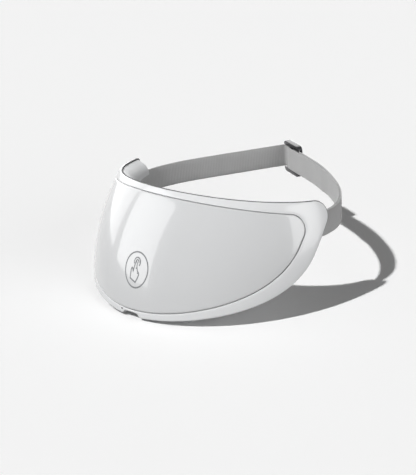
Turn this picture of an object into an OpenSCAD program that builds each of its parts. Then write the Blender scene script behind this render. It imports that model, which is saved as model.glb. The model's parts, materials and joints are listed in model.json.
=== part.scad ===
// LED neck device: a D-shaped shell bent round the front of the neck, with an elastic strap behind it.
// The shell is cut from a barrel whose axis leans back. Its outlines are drawn on the unrolled barrel:
// s runs round the neck, w runs up along the axis, and a depth runs inward from the outer skin.

/* [Barrel] */
// Radius of the barrel at its widest ring
ring_r = 89.5; // [84:0.5:96]
// Radius of the barrel's bulge along its axis
bulge_r = 137.5; // [120:0.5:160]
// Height of the widest ring along the axis
ring_w = 31.2; // [26:0.1:36]
// Angle by which the axis leans back
lean = 37.6; // [34:0.1:41]
// Place of the axis in front of the origin
axis_y = -13.4; // [-20:0.1:-5]
// Height of the axis at that place
axis_z = -5.6; // [-10:0.1:0]

/* [Shell outline] */
// Half length of the shell round the neck
half_s = 108.5; // [104:0.5:112]
// Height at which the ends stand upright
shoulder_w = 30; // [26:0.5:34]
// Drop of the bottom edge below the shoulder
drop_w = 73; // [68:0.5:78]
// Height of the top edge at the middle
top_w = 32.3; // [28:0.1:36]
// Radius of the top edge's sag
top_r = 192; // [170:1:220]
// Radius of the upper corners
corner_r = 8.5; // [6:0.5:10]

/* [Shell sections] */
// Thickness of the front cover
cover_t = 2.6; // [2.4:0.1:3.2]
// Rounding of the front cover's rim
rim_r = 1.2; // [0.6:0.1:1.6]
// Distance from the rim to the locating lip
lip_in = 2.2; // [2:0.1:3]
// Thickness of the locating lip
lip_t = 1.2; // [0.8:0.1:1.6]
// Height of the locating lip
lip_h = 2.2; // [1.4:0.1:3]
// Thickness of the rim seal
seal_t = 0.6; // [0.4:0.1:1]
// Depth of the whole shell
body_d = 13.5; // [13:0.1:15]
// Wall of the inner cover
tray_t = 1.5; // [1.2:0.1:1.8]
// Width of the inner cover's round edge
tray_run = 7.5; // [6:0.5:9]

/* [Front panel] */
// Thickness of the panel
panel_t = 1.6; // [1.2:0.1:1.8]
// Height of the panel above the front cover
panel_proud = 0.35; // [0.2:0.05:0.5]
// Rounding of the panel's edge
panel_edge_r = 0.45; // [0.2:0.05:0.6]
// Border at the ends
border_end = 11.2; // [9:0.1:14]
// Border at the bottom
border_low = 3.5; // [3:0.1:6]
// Border at the top
border_top = 4.1; // [3:0.1:6]
// Radius of the panel's top edge
panel_top_r = 230; // [200:1:260]
// Radius of the panel's upper corners
panel_corner_r = 9; // [6:0.5:11]

/* [Notch and socket] */
// Width of the notch at its roof
notch_w = 13.5; // [12:0.5:16]
// Width of the notch at the edge
notch_mouth = 21; // [18:0.5:25]
// Height of the notch
notch_h = 2.2; // [1.5:0.1:3]
// Width of the charging socket
usb_w = 8.94; // [8.9:0.01:9.2]
// Height of the charging socket
usb_h = 3.26; // [3.1:0.02:3.3]
// Length of the charging socket
usb_l = 7.35; // [6.5:0.05:8]
// Diameter of the status light
light_d = 1.4; // [1.2:0.1:1.6]

/* [Inner parts] */
// Thickness of the main board
board_t = 1; // [0.8:0.1:1.2]
// Width of the main board
board_w = 27; // [26:0.5:29]
// Height of the main board
board_h = 27; // [25:0.5:29]
// Thickness of a battery cell
cell_t = 4; // [3.5:0.1:4.2]
// Width of a battery cell
cell_w = 22; // [18:0.5:24]
// Height of a battery cell
cell_h = 34; // [28:0.5:36]
// Diameter of the touch electrode
electrode_d = 18; // [14:0.5:22]
// Thickness of the LED carrier
carrier_t = 0.9; // [0.7:0.1:1.1]
// Thickness of a flexible LED strip
flex_t = 0.3; // [0.2:0.05:0.4]
// Pitch of the LEDs
led_pitch = 12; // [11:0.5:14]

/* [Strap] */
// Width of the band
strap_w = 15; // [12:0.5:15.5]
// Thickness of the band
strap_t = 0.9; // [0.7:0.1:1.1]
// Radius of the strap pins
pin_r = 1.2; // [1:0.1:1.5]
// Place of a strap pin round the neck
pin_s = 92; // [88:0.5:94]
// Place of a strap pin along the axis
pin_w = 37.5; // [35:0.5:40]
// Depth of a strap pin
pin_d = 7.8; // [7.6:0.1:8.2]
// Length of the sewn tab at the left
tab_l = 15; // [11:0.5:20]

/* [Adjuster] */
// Length of the adjuster along the strap
adj_l = 22; // [18:0.5:24]
// Width of its end bars
adj_bar = 2.4; // [1.8:0.1:3]
// Thickness of its end bars
adj_t = 1.2; // [1:0.1:1.6]
// Thickness of its centre bar
bar_t = 0.8; // [0.6:0.1:1]
// Height of its rails
rail_h = 2.6; // [2:0.1:3]
// Clearance between the band and the centre bar
slide_gap = 0.2; // [0.15:0.05:0.3]
// Clearance between the band and the end bars, which pass over its fold
end_gap = 0.5; // [0.45:0.05:0.8]
// Distance from the fold to the adjuster, below 0 where it reaches past the fold
adj_from_fold = -4; // [-5:0.5:2]

/* [Rest pad] */
// Half width of the rest pad
pad_half_w = 33; // [26:1:38]
// Radius of the rest pad's front edge, inside the shell's bottom edge
pad_front_r = 76; // [70:1:78]
// Distance from the front of the shell's bottom edge back to the rest pad
pad_front_in = 9.32258; // [8:0.00001:12]
// Distance from the front of the shell's bottom edge back to the pad's back edge
pad_back_in = 40.32258; // [34:0.00001:46]
// Height of the rest pad at its back edge
pad_back_h = 4; // [3:0.5:6]
// Height of the rest pad at the shell
pad_front_h = 15; // [12:0.5:18]

/* [Hidden] */

// Fits and small features
panel_gap = 0.15;
tray_gap = 0.2;
touch_gap = 0.05;
// Play where a flat part lies on a curved one, and in the adhesive under the panel
lay_gap = 0.1;
// Play where a post or pad ends on the front cover's inner skin, which is faceted
skin_play = 0.35;
seal_play = 0.03;
edge_break = 0.4;
seat_break = 0.3;
tray_flat = 1.3;
min_corner = 0.6;
screw_r = 0.9;
screw_head_r = 1.7;
screw_head_h = 1.1;
screw_l = 3;
post_r = 2.2;
post_root = 0.8;
hub_w = -5;

// How finely the outlines and skins are divided
n_low = 34;
n_side = 2;
n_corner = 4;
n_top = 16;
shrink_steps = [0.12, 0.25, 0.38, 0.51, 0.64, 0.77, 0.89, 1];
rim_steps = [0, 30, 60, 90];
tray_steps = [0, 18, 36, 54, 72, 90];

panel_seat = panel_t - panel_proud;
tray_top = cover_t + seal_t;
cavity_d = body_d - tray_t;
shade = [0.93, 0.94, 0.95];

// Geometry of the barrel
function tilt(v) = [v[0], v[1] * cos(lean) + v[2] * sin(lean), v[2] * cos(lean) - v[1] * sin(lean)];
function turn_at(s) = s / ring_r * 180 / PI;
function rise_at(w) = asin((w - ring_w) / bulge_r);
function radius_at(w, d) = ring_r - bulge_r + (bulge_r - d) * cos(rise_at(w));
function height_at(w, d) = ring_w + (bulge_r - d) * sin(rise_at(w));
function skin(s, w, d) =
    tilt([radius_at(w, d) * sin(turn_at(s)), -radius_at(w, d) * cos(turn_at(s)), height_at(w, d)])
    + [0, axis_y, axis_z];
function outward(s, w) =
    tilt([cos(rise_at(w)) * sin(turn_at(s)), -cos(rise_at(w)) * cos(turn_at(s)), sin(rise_at(w))]);
function unit(v) = v / norm(v);

// Outline on the unrolled barrel: an elliptic bottom, upright ends, round corners and a sagging top
function outline(a, b, top, r, c, inset) =
    let (
        cx = a - c,
        cw = top + r - sqrt((r + c) ^ 2 - cx ^ 2),
        cr = max(c - inset, min_corner),
        q0 = acos(cx / (r + c))
    )
    concat(
        [for (i = [0:n_low - 1]) let (q = 180 + 180 * i / n_low)
            [a * cos(q), shoulder_w + b * sin(q)] - inset * unit([cos(q) / a, sin(q) / b])],
        [for (i = [0:n_side - 1]) [a - inset, shoulder_w + (cw - shoulder_w) * i / n_side]],
        [for (i = [0:n_corner - 1]) let (q = (180 - q0) * i / n_corner) [cx + cr * cos(q), cw + cr * sin(q)]],
        [for (i = [0:n_top]) let (q = q0 + (180 - 2 * q0) * i / n_top)
            [(r + inset) * cos(q), top + r - (r + inset) * sin(q)]],
        [for (i = [1:n_corner]) let (q = q0 + (180 - q0) * i / n_corner) [-cx + cr * cos(q), cw + cr * sin(q)]],
        [for (i = [1:n_side]) [inset - a, cw + (shoulder_w - cw) * i / n_side]]
    );
function body_line(inset) = outline(half_s, drop_w, top_w, top_r, corner_r, inset);
function panel_line(inset) =
    outline(half_s - border_end, drop_w - border_low, top_w - border_top, panel_top_r, panel_corner_r, inset);
function shrink(line, k) = [for (p = line) [p[0] * k, hub_w + (p[1] - hub_w) * k]];
function mix(from, to, m) = [for (i = [0:len(from) - 1]) from[i] * (1 - m) + to[i] * m];
function ring(line, d) = [for (p = line) skin(p[0], p[1], d)];
function rings_out(line, d) = [for (k = shrink_steps) ring(shrink(line, k), d)];
function rings_in(line, d) = [for (i = [len(shrink_steps) - 1:-1:0]) ring(shrink(line, shrink_steps[i]), d)];
function rings_part(line, d) = [for (i = [0:len(shrink_steps) - 2]) ring(shrink(line, shrink_steps[i]), d)];
function rings_back(line, d) = [for (i = [len(shrink_steps) - 2:-1:0]) ring(shrink(line, shrink_steps[i]), d)];
function bottom_w(s) = shoulder_w - drop_w * sqrt(1 - (s / half_s) ^ 2);
function top_w_at(s) = top_w + top_r - sqrt(top_r ^ 2 - s ^ 2);

// Skins a stack of rings, and closes both ends on the hub at the given depths. The last rings, given by
// their number, are split the other way, so that a face lies parallel to the face that carries it.
module lofted(rings, first_d, last_d, back = 0) {
    n = len(rings[0]);
    m = len(rings);
    points = concat([for (r = rings) for (p = r) p], [skin(0, hub_w, first_d), skin(0, hub_w, last_d)]);
    faces = concat(
        [for (i = [0:m - 2]) for (k = [0:n - 1]) let (next = (k + 1) % n, far = i < m - 1 - back ? next : k)
            [i * n + k, i * n + next, (i + 1) * n + far]],
        [for (i = [0:m - 2]) for (k = [0:n - 1]) let (next = (k + 1) % n, near = i < m - 1 - back ? k : next)
            [i * n + near, (i + 1) * n + next, (i + 1) * n + k]],
        [for (k = [0:n - 1]) [m * n, (k + 1) % n, k]],
        [for (k = [0:n - 1]) [m * n + 1, (m - 1) * n + k, (m - 1) * n + (k + 1) % n]]
    );
    polyhedron(points, faces);
}

// Skins a stack of rings that closes on itself, like a seal
module looped(rings) {
    n = len(rings[0]);
    m = len(rings);
    points = [for (r = rings) for (p = r) p];
    faces = concat(
        [for (i = [0:m - 1]) for (k = [0:n - 1]) let (next = (k + 1) % n, up = (i + 1) % m)
            [i * n + k, i * n + next, up * n + next]],
        [for (i = [0:m - 1]) for (k = [0:n - 1]) let (next = (k + 1) % n, up = (i + 1) % m)
            [i * n + k, up * n + next, up * n + k]]
    );
    polyhedron(points, faces);
}

// Places what is drawn with +Z outward, +X round the neck and +Y up, at a place on the shell
module seat(s, w, d) {
    translate([0, axis_y, axis_z]) rotate([-lean, 0, 0]) rotate([0, 0, turn_at(s)])
        translate([0, -radius_at(w, d), height_at(w, d)]) rotate([90 - rise_at(w), 0, 0]) children();
}

// Frame of the right strap pin: Z along the pin, X outward, Y back along the shell
pin_at = skin(pin_s, pin_w, pin_d);
pin_out = outward(pin_s, pin_w);
pin_up = unit([0, 0, 1] - pin_out[2] * pin_out);
pin_back = cross(pin_up, pin_out);
loop_r = pin_r + 2 * touch_gap + strap_t / 2;
strap_z = pin_at[2];
module at_pin(side) {
    mirror([side < 0 ? 1 : 0, 0, 0])
    multmatrix([
        [pin_out[0], pin_back[0], pin_up[0], pin_at[0]],
        [pin_out[1], pin_back[1], pin_up[1], pin_at[1]],
        [pin_out[2], pin_back[2], pin_up[2], pin_at[2]],
        [0, 0, 0, 1]
    ]) children();
}

// Bracket that holds a strap pin
bracket_w = 9.4;
bracket_t = 1;
bracket_lug = 1.6;
lug_in = 2.4;
lug_gap = 0.35;
bracket_half = strap_w / 2 + lug_gap + bracket_lug;
bracket_x = loop_r + strap_t / 2 + 0.3;
bracket_y = -2.5;
bracket_post_y = -(loop_r + strap_t / 2 + 0.4 + screw_head_r);
bracket_post_z = 5;
bracket_post_h = pin_d - cover_t - bracket_x - bracket_t + post_root;
slot_half = strap_w / 2 + 1.2;
slot_l = 24;
slot_in = 9;
lip_cut_y = 6;
module strap_slots(from_y) {
    for (side = [-1, 1])
        at_pin(side) translate([-slot_in, from_y, -slot_half]) cube([slot_in + loop_r + 1, slot_l, 2 * slot_half]);
}

module bracket_post_places() {
    for (side = [-1, 1])
        for (z = [-bracket_post_z, bracket_post_z])
            at_pin(side) translate([bracket_x + bracket_t, bracket_post_y, z]) rotate([0, 90, 0]) children();
}

// Main board and its posts
board_s = 0;
board_up = 21;
board_mid_w = bottom_w(0) + board_up;
board_d = 5.3;
board_post_x = board_w / 2 - 2.4;
board_post_y = board_h / 2 - 2.4;
board_post_sag = board_post_x ^ 2 / (2 * radius_at(board_mid_w, 0)) + board_post_y ^ 2 / (2 * bulge_r);
board_post_h = board_d - board_post_sag - cover_t + post_root;
module board_post_places() {
    for (x = [-board_post_x, board_post_x])
        for (y = [-board_post_y, board_post_y])
            seat(board_s, board_mid_w, board_d) translate([x, y, 0]) children();
}

// Charging socket, hung on the back of the board at its lower edge
usb_d = board_d + board_t;
usb_mouth_w = bottom_w(0) + notch_h;
usb_y = usb_mouth_w - board_mid_w;
module usb_outline(grow) {
    translate([-usb_w / 2 + usb_h / 2, 0]) circle(r = usb_h / 2 + grow, $fn = 32);
    translate([usb_w / 2 - usb_h / 2, 0]) circle(r = usb_h / 2 + grow, $fn = 32);
    square([usb_w - usb_h, usb_h + 2 * grow], center = true);
}
module at_usb() {
    seat(board_s, board_mid_w, usb_d + usb_h / 2) translate([0, usb_y, 0]) rotate([-90, 0, 0]) children();
}

// Touch key and status light
key_up = 4.7;
key_w = board_mid_w + key_up;
light_s = -9.9;
light_up = 2.39548;
light_w = bottom_w(light_s) + light_up;
spring_r = 3;

module front_cover() color(shade) {
    difference() {
        union() {
            lofted(concat(
                rings_out(panel_line(-panel_gap), panel_seat),
                [ring(panel_line(-panel_gap), seat_break), ring(panel_line(-panel_gap - seat_break), 0)],
                [for (m = [0.35, 0.7]) ring(mix(panel_line(-panel_gap - seat_break), body_line(rim_r), m), 0)],
                [for (q = rim_steps) ring(body_line(rim_r * (1 - sin(q))), rim_r * (1 - cos(q)))],
                [ring(body_line(0), cover_t - edge_break), ring(body_line(edge_break), cover_t)],
                [ring(body_line(lip_in), cover_t), ring(body_line(lip_in), cover_t + lip_h)],
                [ring(body_line(lip_in + lip_t), cover_t + lip_h)],
                rings_in(body_line(lip_in + lip_t), cover_t)
            ), panel_seat, cover_t);
            board_post_places() cylinder(r = post_r, h = board_post_h, $fn = 32);
            bracket_post_places() cylinder(r = post_r, h = bracket_post_h, $fn = 32);
        }
        board_post_places() translate([0, 0, -1]) cylinder(r = screw_r, h = screw_l - board_t + 1, $fn = 24);
        bracket_post_places() translate([0, 0, -1]) cylinder(r = screw_r, h = screw_l - bracket_t + 1, $fn = 24);
        notch();
        strap_slots(lip_cut_y);
        seat(light_s, light_w, 0) cylinder(r = light_d / 2 + touch_gap, h = 4 * cover_t, center = true, $fn = 32);
    }
}

module notch() {
    seat(0, bottom_w(0), body_d / 2) linear_extrude(body_d * 2, center = true)
        polygon([
            [-notch_mouth / 2 - 1, -1], [notch_mouth / 2 + 1, -1], [notch_mouth / 2, 0],
            [notch_w / 2, notch_h], [-notch_w / 2, notch_h], [-notch_mouth / 2, 0]
        ]);
}

module front_panel() color("whitesmoke") {
    lofted(concat(
        rings_part(panel_line(-panel_gap), -panel_proud),
        [for (q = [0, 30, 60, 90])
            ring(panel_line(panel_edge_r * (1 - sin(q))), panel_edge_r * (1 - cos(q)) - panel_proud)],
        [ring(panel_line(0), panel_seat - lay_gap)],
        rings_back(panel_line(-panel_gap), panel_seat - lay_gap)
    ), -panel_proud, panel_seat - lay_gap, len(shrink_steps) - 1);
}

module rim_seal() color("dimgray") difference() {
    looped([
        ring(body_line(edge_break), cover_t + seal_play), ring(body_line(edge_break), tray_top - seal_play),
        ring(body_line(lip_in - tray_gap), tray_top - seal_play), ring(body_line(lip_in - tray_gap), cover_t + seal_play)
    ]);
    notch();
}

// Edge of the inner cover: an upright foot, then a quarter round into the neck side
function tray_edge(e0, d0, d1) =
    [for (q = tray_steps) ring(body_line(e0 + tray_run * (1 - cos(q))), d0 + (d1 - d0) * sin(q))];
tray_in = edge_break + tray_t;
module inner_cover() color([0.9, 0.91, 0.92]) difference() {
    union() {
        tray();
        notch_roof();
    }
    strap_slots(1);
    notch();
    at_usb() linear_extrude(2 * usb_l, center = true) usb_outline(tray_gap);
}
module tray() {
    lofted(concat(
        rings_out(body_line(tray_in + tray_run), cavity_d),
        [for (i = [len(tray_steps) - 1:-1:0])
            ring(body_line(tray_in + tray_run * (1 - cos(tray_steps[i]))),
                tray_top + tray_flat + (cavity_d - tray_top - tray_flat) * sin(tray_steps[i]))],
        [ring(body_line(tray_in), tray_top), ring(body_line(edge_break), tray_top)],
        tray_edge(edge_break, tray_top + tray_flat, body_d),
        rings_in(body_line(edge_break + tray_run), body_d)
    ), cavity_d, body_d);
}

// Plate over the notch, behind the front cover's lip, that frames the charging socket
roof_end_d = 10.4;
module notch_roof() {
    half = notch_w / 2 + 1;
    sag = half ^ 2 / (2 * radius_at(bottom_w(0), cover_t));
    seat(0, bottom_w(0), roof_end_d) translate([-half, notch_h - 0.5, 0])
        cube([2 * half, tray_t + 0.5, roof_end_d - cover_t - lip_h - tray_gap - sag]);
}

module status_light() color("black") {
    seat(light_s, light_w, cover_t) cylinder(r = light_d / 2, h = cover_t, $fn = 32);
}

module status_led() color("ivory") {
    seat(light_s, light_w, cover_t) translate([0, 0, -0.6]) cube([1, 0.4, 1], center = true);
}

module touch_electrode() color("peru") {
    seat(board_s, key_w, cover_t + 0.75) cylinder(d = electrode_d, h = 0.2, $fn = 64);
}

// Spring contact: a short coil on the board's front
spring_l = board_d - cover_t - 0.75 - 2 * lay_gap;
module touch_spring() color("gold") {
    seat(board_s, key_w, cover_t + 0.75 + spring_l) difference() {
        cylinder(r = spring_r, h = spring_l, $fn = 48);
        translate([0, 0, 0.4]) cylinder(r = spring_r - 0.4, h = spring_l, $fn = 48);
    }
}

module main_board() color("seagreen") {
    difference() {
        seat(board_s, board_mid_w, board_d + board_t) linear_extrude(board_t)
            square([board_w, board_h], center = true);
        board_post_places() translate([0, 0, -board_t - 0.5]) cylinder(r = screw_r + 0.2, h = board_t + 1, $fn = 24);
    }
}

module on_board_back(x, y) {
    seat(board_s, board_mid_w, board_d + board_t) translate([x, y, 0]) mirror([0, 0, 1]) children();
}
processor = [7, 7, 0.9];
processor_at = [-5, 3];
charger = [4, 5, 1];
charger_at = [6, 4];
coil = [1.6, 2.8, 0.8];
coil_x = [-8, -5, 5, 8];
coil_y = -5;
module chip(at, size) {
    on_board_back(at[0], at[1]) translate([-size[0] / 2, -size[1] / 2, 0]) cube(size);
}
module main_chips() color([0.15, 0.15, 0.16]) {
    chip(processor_at, processor);
    chip(charger_at, charger);
    for (x = coil_x)
        chip([x, coil_y], coil);
}

module screw(l) {
    translate([0, 0, -screw_head_h]) cylinder(r = screw_head_r, h = screw_head_h, $fn = 32);
    cylinder(r = screw_r - touch_gap, h = l, $fn = 24);
}
module board_screws() color("silver") {
    board_post_places() translate([0, 0, -board_t]) screw(screw_l);
}
module bracket_screws() color("silver") {
    bracket_post_places() translate([0, 0, -bracket_t]) screw(screw_l);
}

module usb_shell() color("gainsboro") {
    at_usb() difference() {
        translate([0, 0, 0]) mirror([0, 0, 1]) translate([0, 0, -usb_l]) linear_extrude(usb_l) usb_outline(0);
        translate([0, 0, -1]) linear_extrude(usb_l) usb_outline(-0.35);
    }
}
module usb_tongue() color([0.1, 0.1, 0.11]) {
    at_usb() translate([-3.3, -0.35, 1]) cube([6.6, 0.7, usb_l - 2]);
}

// Battery cells, each on a foam pad against the front cover
cell_s = 31;
cell_mid_w = -9;
cell_d = 5.2;
foam = [8, 12];
foam_sag = foam[0] ^ 2 / (8 * radius_at(cell_mid_w, cover_t)) + foam[1] ^ 2 / (8 * bulge_r) + skin_play;
module battery(side) color("silver") {
    seat(side * cell_s, cell_mid_w, cell_d + cell_t) linear_extrude(cell_t)
        square([cell_w, cell_h], center = true);
}
module battery_pad(side) color([0.25, 0.25, 0.27]) {
    seat(side * cell_s, cell_mid_w, cell_d) linear_extrude(cell_d - cover_t - foam_sag)
        square(foam, center = true);
}
module battery_left() battery(-1);
module battery_right() battery(1);
module battery_pad_left() battery_pad(-1);
module battery_pad_right() battery_pad(1);

// LED strips: five sheets that follow the barrel, on one carrier
strips = 5;
strip_cols = 3;
carrier_d = cell_d + cell_t + 0.15;
flex_d = carrier_d + carrier_t;
flex_near_d = flex_d + lay_gap;
led_d = flex_near_d + flex_t + lay_gap;
led_h = 0.7;
edge_clear = 12.5;
strip_s = strip_cols * led_pitch;
strip_play = 0.8;
function strip_mid(i) = (i - (strips - 1) / 2) * strip_s;
function strip_far(i) = abs(strip_mid(i)) + strip_s / 2;
function strip_near(i) = max(abs(strip_mid(i)) - strip_s / 2, 0);
function strip_low(i) = bottom_w(strip_far(i)) + edge_clear;
function strip_high(i) = top_w_at(strip_near(i)) - edge_clear;
sheet_steps = 6;

// A sheet that follows the barrel between two depths
module sheet(s_mid, s_len, w_low, w_high, d0, d1) {
    ws = [for (i = [0:sheet_steps]) w_low + (w_high - w_low) * i / sheet_steps];
    translate([0, axis_y, axis_z]) rotate([-lean, 0, 0]) rotate([0, 0, turn_at(s_mid - s_len / 2) - 90])
        rotate_extrude(angle = turn_at(s_len), $fn = 96)
            polygon(concat(
                [for (w = ws) [radius_at(w, d0), height_at(w, d0)]],
                [for (i = [sheet_steps:-1:0]) [radius_at(ws[i], d1), height_at(ws[i], d1)]]
            ));
}
carrier_posts = [[-78, 30], [-48, 22], [0, 12], [48, 22], [78, 30]];
module led_carrier() color("white") {
    for (i = [0:strips - 1])
        sheet(strip_mid(i), strip_s, strip_low(i) - 1, strip_high(i) + 1, carrier_d, flex_d);
    for (p = carrier_posts)
        seat(p[0], p[1], carrier_d + 0.3) cylinder(r = 2, h = carrier_d + 0.3 - cover_t - skin_play, $fn = 32);
}
module led_strip(i) color([0.85, 0.55, 0.2]) {
    sheet(strip_mid(i), strip_s - strip_play, strip_low(i), strip_high(i), flex_near_d, flex_near_d + flex_t);
}
module led_strip_1() led_strip(0);
module led_strip_2() led_strip(1);
module led_strip_3() led_strip(2);
module led_strip_4() led_strip(3);
module led_strip_5() led_strip(4);

// One LED package at each crossing of the pitch that lies on its strip
module leds(i) color("lightyellow") {
    rows = floor((strip_high(i) - strip_low(i) - 4) / led_pitch);
    mid_w = (strip_high(i) + strip_low(i)) / 2;
    for (c = [-(strip_cols - 1) / 2:(strip_cols - 1) / 2])
        for (r = [-rows / 2:rows / 2])
            seat(strip_mid(i) + c * led_pitch, mid_w + r * led_pitch, led_d + led_h)
                linear_extrude(led_h) square([3.5, 2.8], center = true);
}
module leds_1() leds(0);
module leds_2() leds(1);
module leds_3() leds(2);
module leds_4() leds(3);
module leds_5() leds(4);

module strap_bracket(side) color("silver") at_pin(side) difference() {
    union() {
        translate([bracket_x, bracket_y - bracket_w / 2, -bracket_half])
            cube([bracket_t, bracket_w, 2 * bracket_half]);
        for (z = [-bracket_half, bracket_half - bracket_lug])
            translate([-lug_in, bracket_y - bracket_w / 2, z])
                cube([lug_in + bracket_x + bracket_t, bracket_w, bracket_lug]);
    }
    cylinder(r = pin_r + touch_gap, h = 4 * bracket_half, center = true, $fn = 48);
    for (z = [-bracket_post_z, bracket_post_z])
        translate([bracket_x - 1, bracket_post_y, z]) rotate([0, 90, 0])
            cylinder(r = screw_r + 0.1, h = bracket_t + 2, $fn = 24);
}
module strap_bracket_left() strap_bracket(-1);
module strap_bracket_right() strap_bracket(1);
module strap_pin(side) color("gray") {
    at_pin(side) cylinder(r = pin_r, h = 2 * bracket_half, center = true, $fn = 48);
}
module strap_pin_left() strap_pin(-1);
module strap_pin_right() strap_pin(1);

// Route of the strap seen from above, as corner points joined by arcs with a bulge to the outside
left_out = [-63.5, 33];
fold_in = [-37, 89.1];
fold_out = [-32.5, 89.6];
straight_end = [9.5, 70.5];
back_mid = [50, 42.5];
side_in = [64.5, 27];
left_bulge = 4.8;
fold_bulge = 1.4;
back_bulge = 1.2;
turn_bulge = 0.9;
right_bulge = 8.6;
loop_steps = 8;

function arc(p, q, bulge, n) =
    let (v = q - p, c = norm(v), side = [-v[1], v[0]] / c, b = max(abs(bulge), 0.001),
        r = (c * c / 4 + b * b) / (2 * b), half = asin(c / 2 / r))
    [for (i = [1:n]) let (a = -half + 2 * half * i / n)
        (p + q) / 2 + v / c * r * sin(a) + side * (r * cos(a) - (r - b))];
function flat(p) = [p[0], p[1]];
function near_right(p) = norm(p - pin_at);
function near_left(p) = norm(p - [-pin_at[0], pin_at[1], pin_at[2]]);
function from_pin(p) = min(near_left(p), near_right(p));
ease_l = 26;
ease_from = 2.5;
function strap_up(p) =
    let (side = near_left(p) < near_right(p) ? -1 : 1,
        m = max(0, min((from_pin(p) - ease_from) / (ease_l - ease_from), 1)))
    unit([side * pin_up[0], pin_up[1], pin_up[2]] * (1 - m) + [0, 0, 1] * m);

// The band's half turn round a pin, from its inner side to its outer side, for the right pin
loop_turn = [for (i = [0:loop_steps]) let (a = 180 - 180 * i / loop_steps)
    pin_at + loop_r * (cos(a) * pin_out - sin(a) * pin_back)];
function flip_x(line) = [for (p = line) [-p[0], p[1], p[2]]];
function backwards(line) = [for (i = [len(line) - 1:-1:0]) line[i]];
loop_end = loop_turn[loop_steps];
lift = loop_end[2] - strap_z;
route_flat = concat(
    arc([-loop_end[0], loop_end[1]], left_out, left_bulge, 10),
    arc(left_out, fold_in, 0, 3),
    arc(fold_in, fold_out, fold_bulge, 5),
    arc(fold_out, straight_end, 0, 4),
    arc(straight_end, back_mid, back_bulge, 8),
    arc(back_mid, side_in, turn_bulge, 4),
    arc(side_in, flat(loop_end), right_bulge, 12)
);
route = [for (p = route_flat)
    let (u = from_pin([p[0], p[1], strap_z])) [p[0], p[1], strap_z + lift * max(0, 1 - u / ease_l)]];
n_route = len(route);

function along(line, i) = unit(line[min(i + 1, len(line) - 1)] - line[max(i - 1, 0)]);
// Side of the band that faces away from the neck
function facing(line, i) = unit(cross(strap_up(line[i]), along(line, i)));

// A flat band of the strap's section along a line of points
module band(line, w) {
    n = len(line);
    points = [for (i = [0:n - 1]) for (c = [[-1, -1], [1, -1], [1, 1], [-1, 1]])
        line[i] + c[0] * facing(line, i) * strap_t / 2 + c[1] * strap_up(line[i]) * w / 2];
    faces = concat(
        [[0, 1, 2], [0, 2, 3]],
        [for (i = [0:n - 2]) for (k = [0:3]) [4 * i + k, 4 * i + 4 + (k + 1) % 4, 4 * i + (k + 1) % 4]],
        [for (i = [0:n - 2]) for (k = [0:3]) [4 * i + k, 4 * i + 4 + k, 4 * i + 4 + (k + 1) % 4]],
        [[4 * n - 4, 4 * n - 2, 4 * n - 3], [4 * n - 4, 4 * n - 1, 4 * n - 2]]
    );
    polyhedron(points, faces);
}

strap_color = [0.62, 0.62, 0.63];
module strap() color(strap_color) {
    band(concat(flip_x(loop_turn), route, [for (i = [1:loop_steps]) loop_turn[loop_steps - i]]), strap_w);
}

// How far the second layer lies inside the first, by its distance from the pin
lap = strap_t + 0.15;
slider_pitch = strap_t + bar_t + 2 * slide_gap;
lap_from = 15;
slider_from = 100;
pitch_table = [[0, 2 * loop_r], [lap_from, lap], [slider_from - 10, lap], [slider_from, slider_pitch], [400, slider_pitch]];
function inside(i, d) = route[i] - d * facing(route, i);
module strap_tab() color(strap_color) {
    band(concat(
        [flip_x([loop_turn[0] + 0.15 * pin_back])[0]],
        [for (i = [1:n_route - 1]) if (near_left(route[i]) < tab_l && i < 10)
            inside(i, lookup(near_left(route[i]), [[0, 2 * loop_r], [tab_l, strap_t + touch_gap]]))]
    ), strap_w);
}

// The adjuster's frame: X along the strap's straight run, Y away from the neck
run = fold_out - straight_end;
run_angle = atan2(-run[1], -run[0]);
adj_mid = fold_out - unit(run) * (adj_from_fold + adj_l / 2);
module at_adjuster() {
    translate([adj_mid[0], adj_mid[1], strap_z]) rotate([0, 0, run_angle]) children();
}
bar_w = 3;
rail_gap = 0.45;
bar_y = -strap_t / 2 - slide_gap - bar_t;
face_y = strap_t / 2 + end_gap;
fold_x = -bar_w / 2 - 0.6 - strap_t / 2;

module strap_return() color(strap_color) {
    first = [for (i = [0:n_route - 1]) if (route[i][0] < straight_end[0] + 0.5) i];
    turn = last_of(first);
    fold = to_adjuster(fold_x, -slider_pitch);
    curl = to_adjuster(fold_x - 0.75, -slider_pitch + 0.3);
    curl_end = to_adjuster(fold_x - 0.95, -slider_pitch + 0.9);
    band(concat(
        [curl_end, curl, fold],
        [for (i = [turn:n_route - 4]) inside(i, lookup(near_right(route[i]), pitch_table))],
        [loop_turn[0] + 0.15 * pin_back]
    ), strap_w);
}
function last_of(list) = list[len(list) - 1];
function to_adjuster(x, y) =
    [adj_mid[0] + x * cos(run_angle) - y * sin(run_angle), adj_mid[1] + x * sin(run_angle) + y * cos(run_angle), strap_z];

adj_corner_r = 2.8;
module adjuster() color([0.25, 0.25, 0.27]) at_adjuster() {
    window_h = strap_w + 2 * rail_gap;
    out_h = window_h + 2 * rail_h;
    difference() {
        translate([0, face_y + adj_t, 0]) rotate([90, 0, 0]) linear_extrude(face_y + adj_t - bar_y)
            rounded(adj_l, out_h, adj_corner_r);
        translate([-adj_l, bar_y - 1, -window_h / 2]) cube([2 * adj_l, face_y - bar_y + 1, window_h]);
        translate([-adj_l / 2 + adj_bar, 0, -window_h / 2])
            cube([adj_l - 2 * adj_bar, face_y + adj_t + 1, window_h]);
    }
    translate([-bar_w / 2, bar_y, -window_h / 2 - 1]) cube([bar_w, bar_t, window_h + 2]);
}
module rounded(w, h, r) {
    square([w - 2 * r, h], center = true);
    square([w, h - 2 * r], center = true);
    for (x = [-1, 1])
        for (y = [-1, 1])
            translate([x * (w / 2 - r), y * (h / 2 - r)]) circle(r = r, $fn = 32);
}

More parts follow.
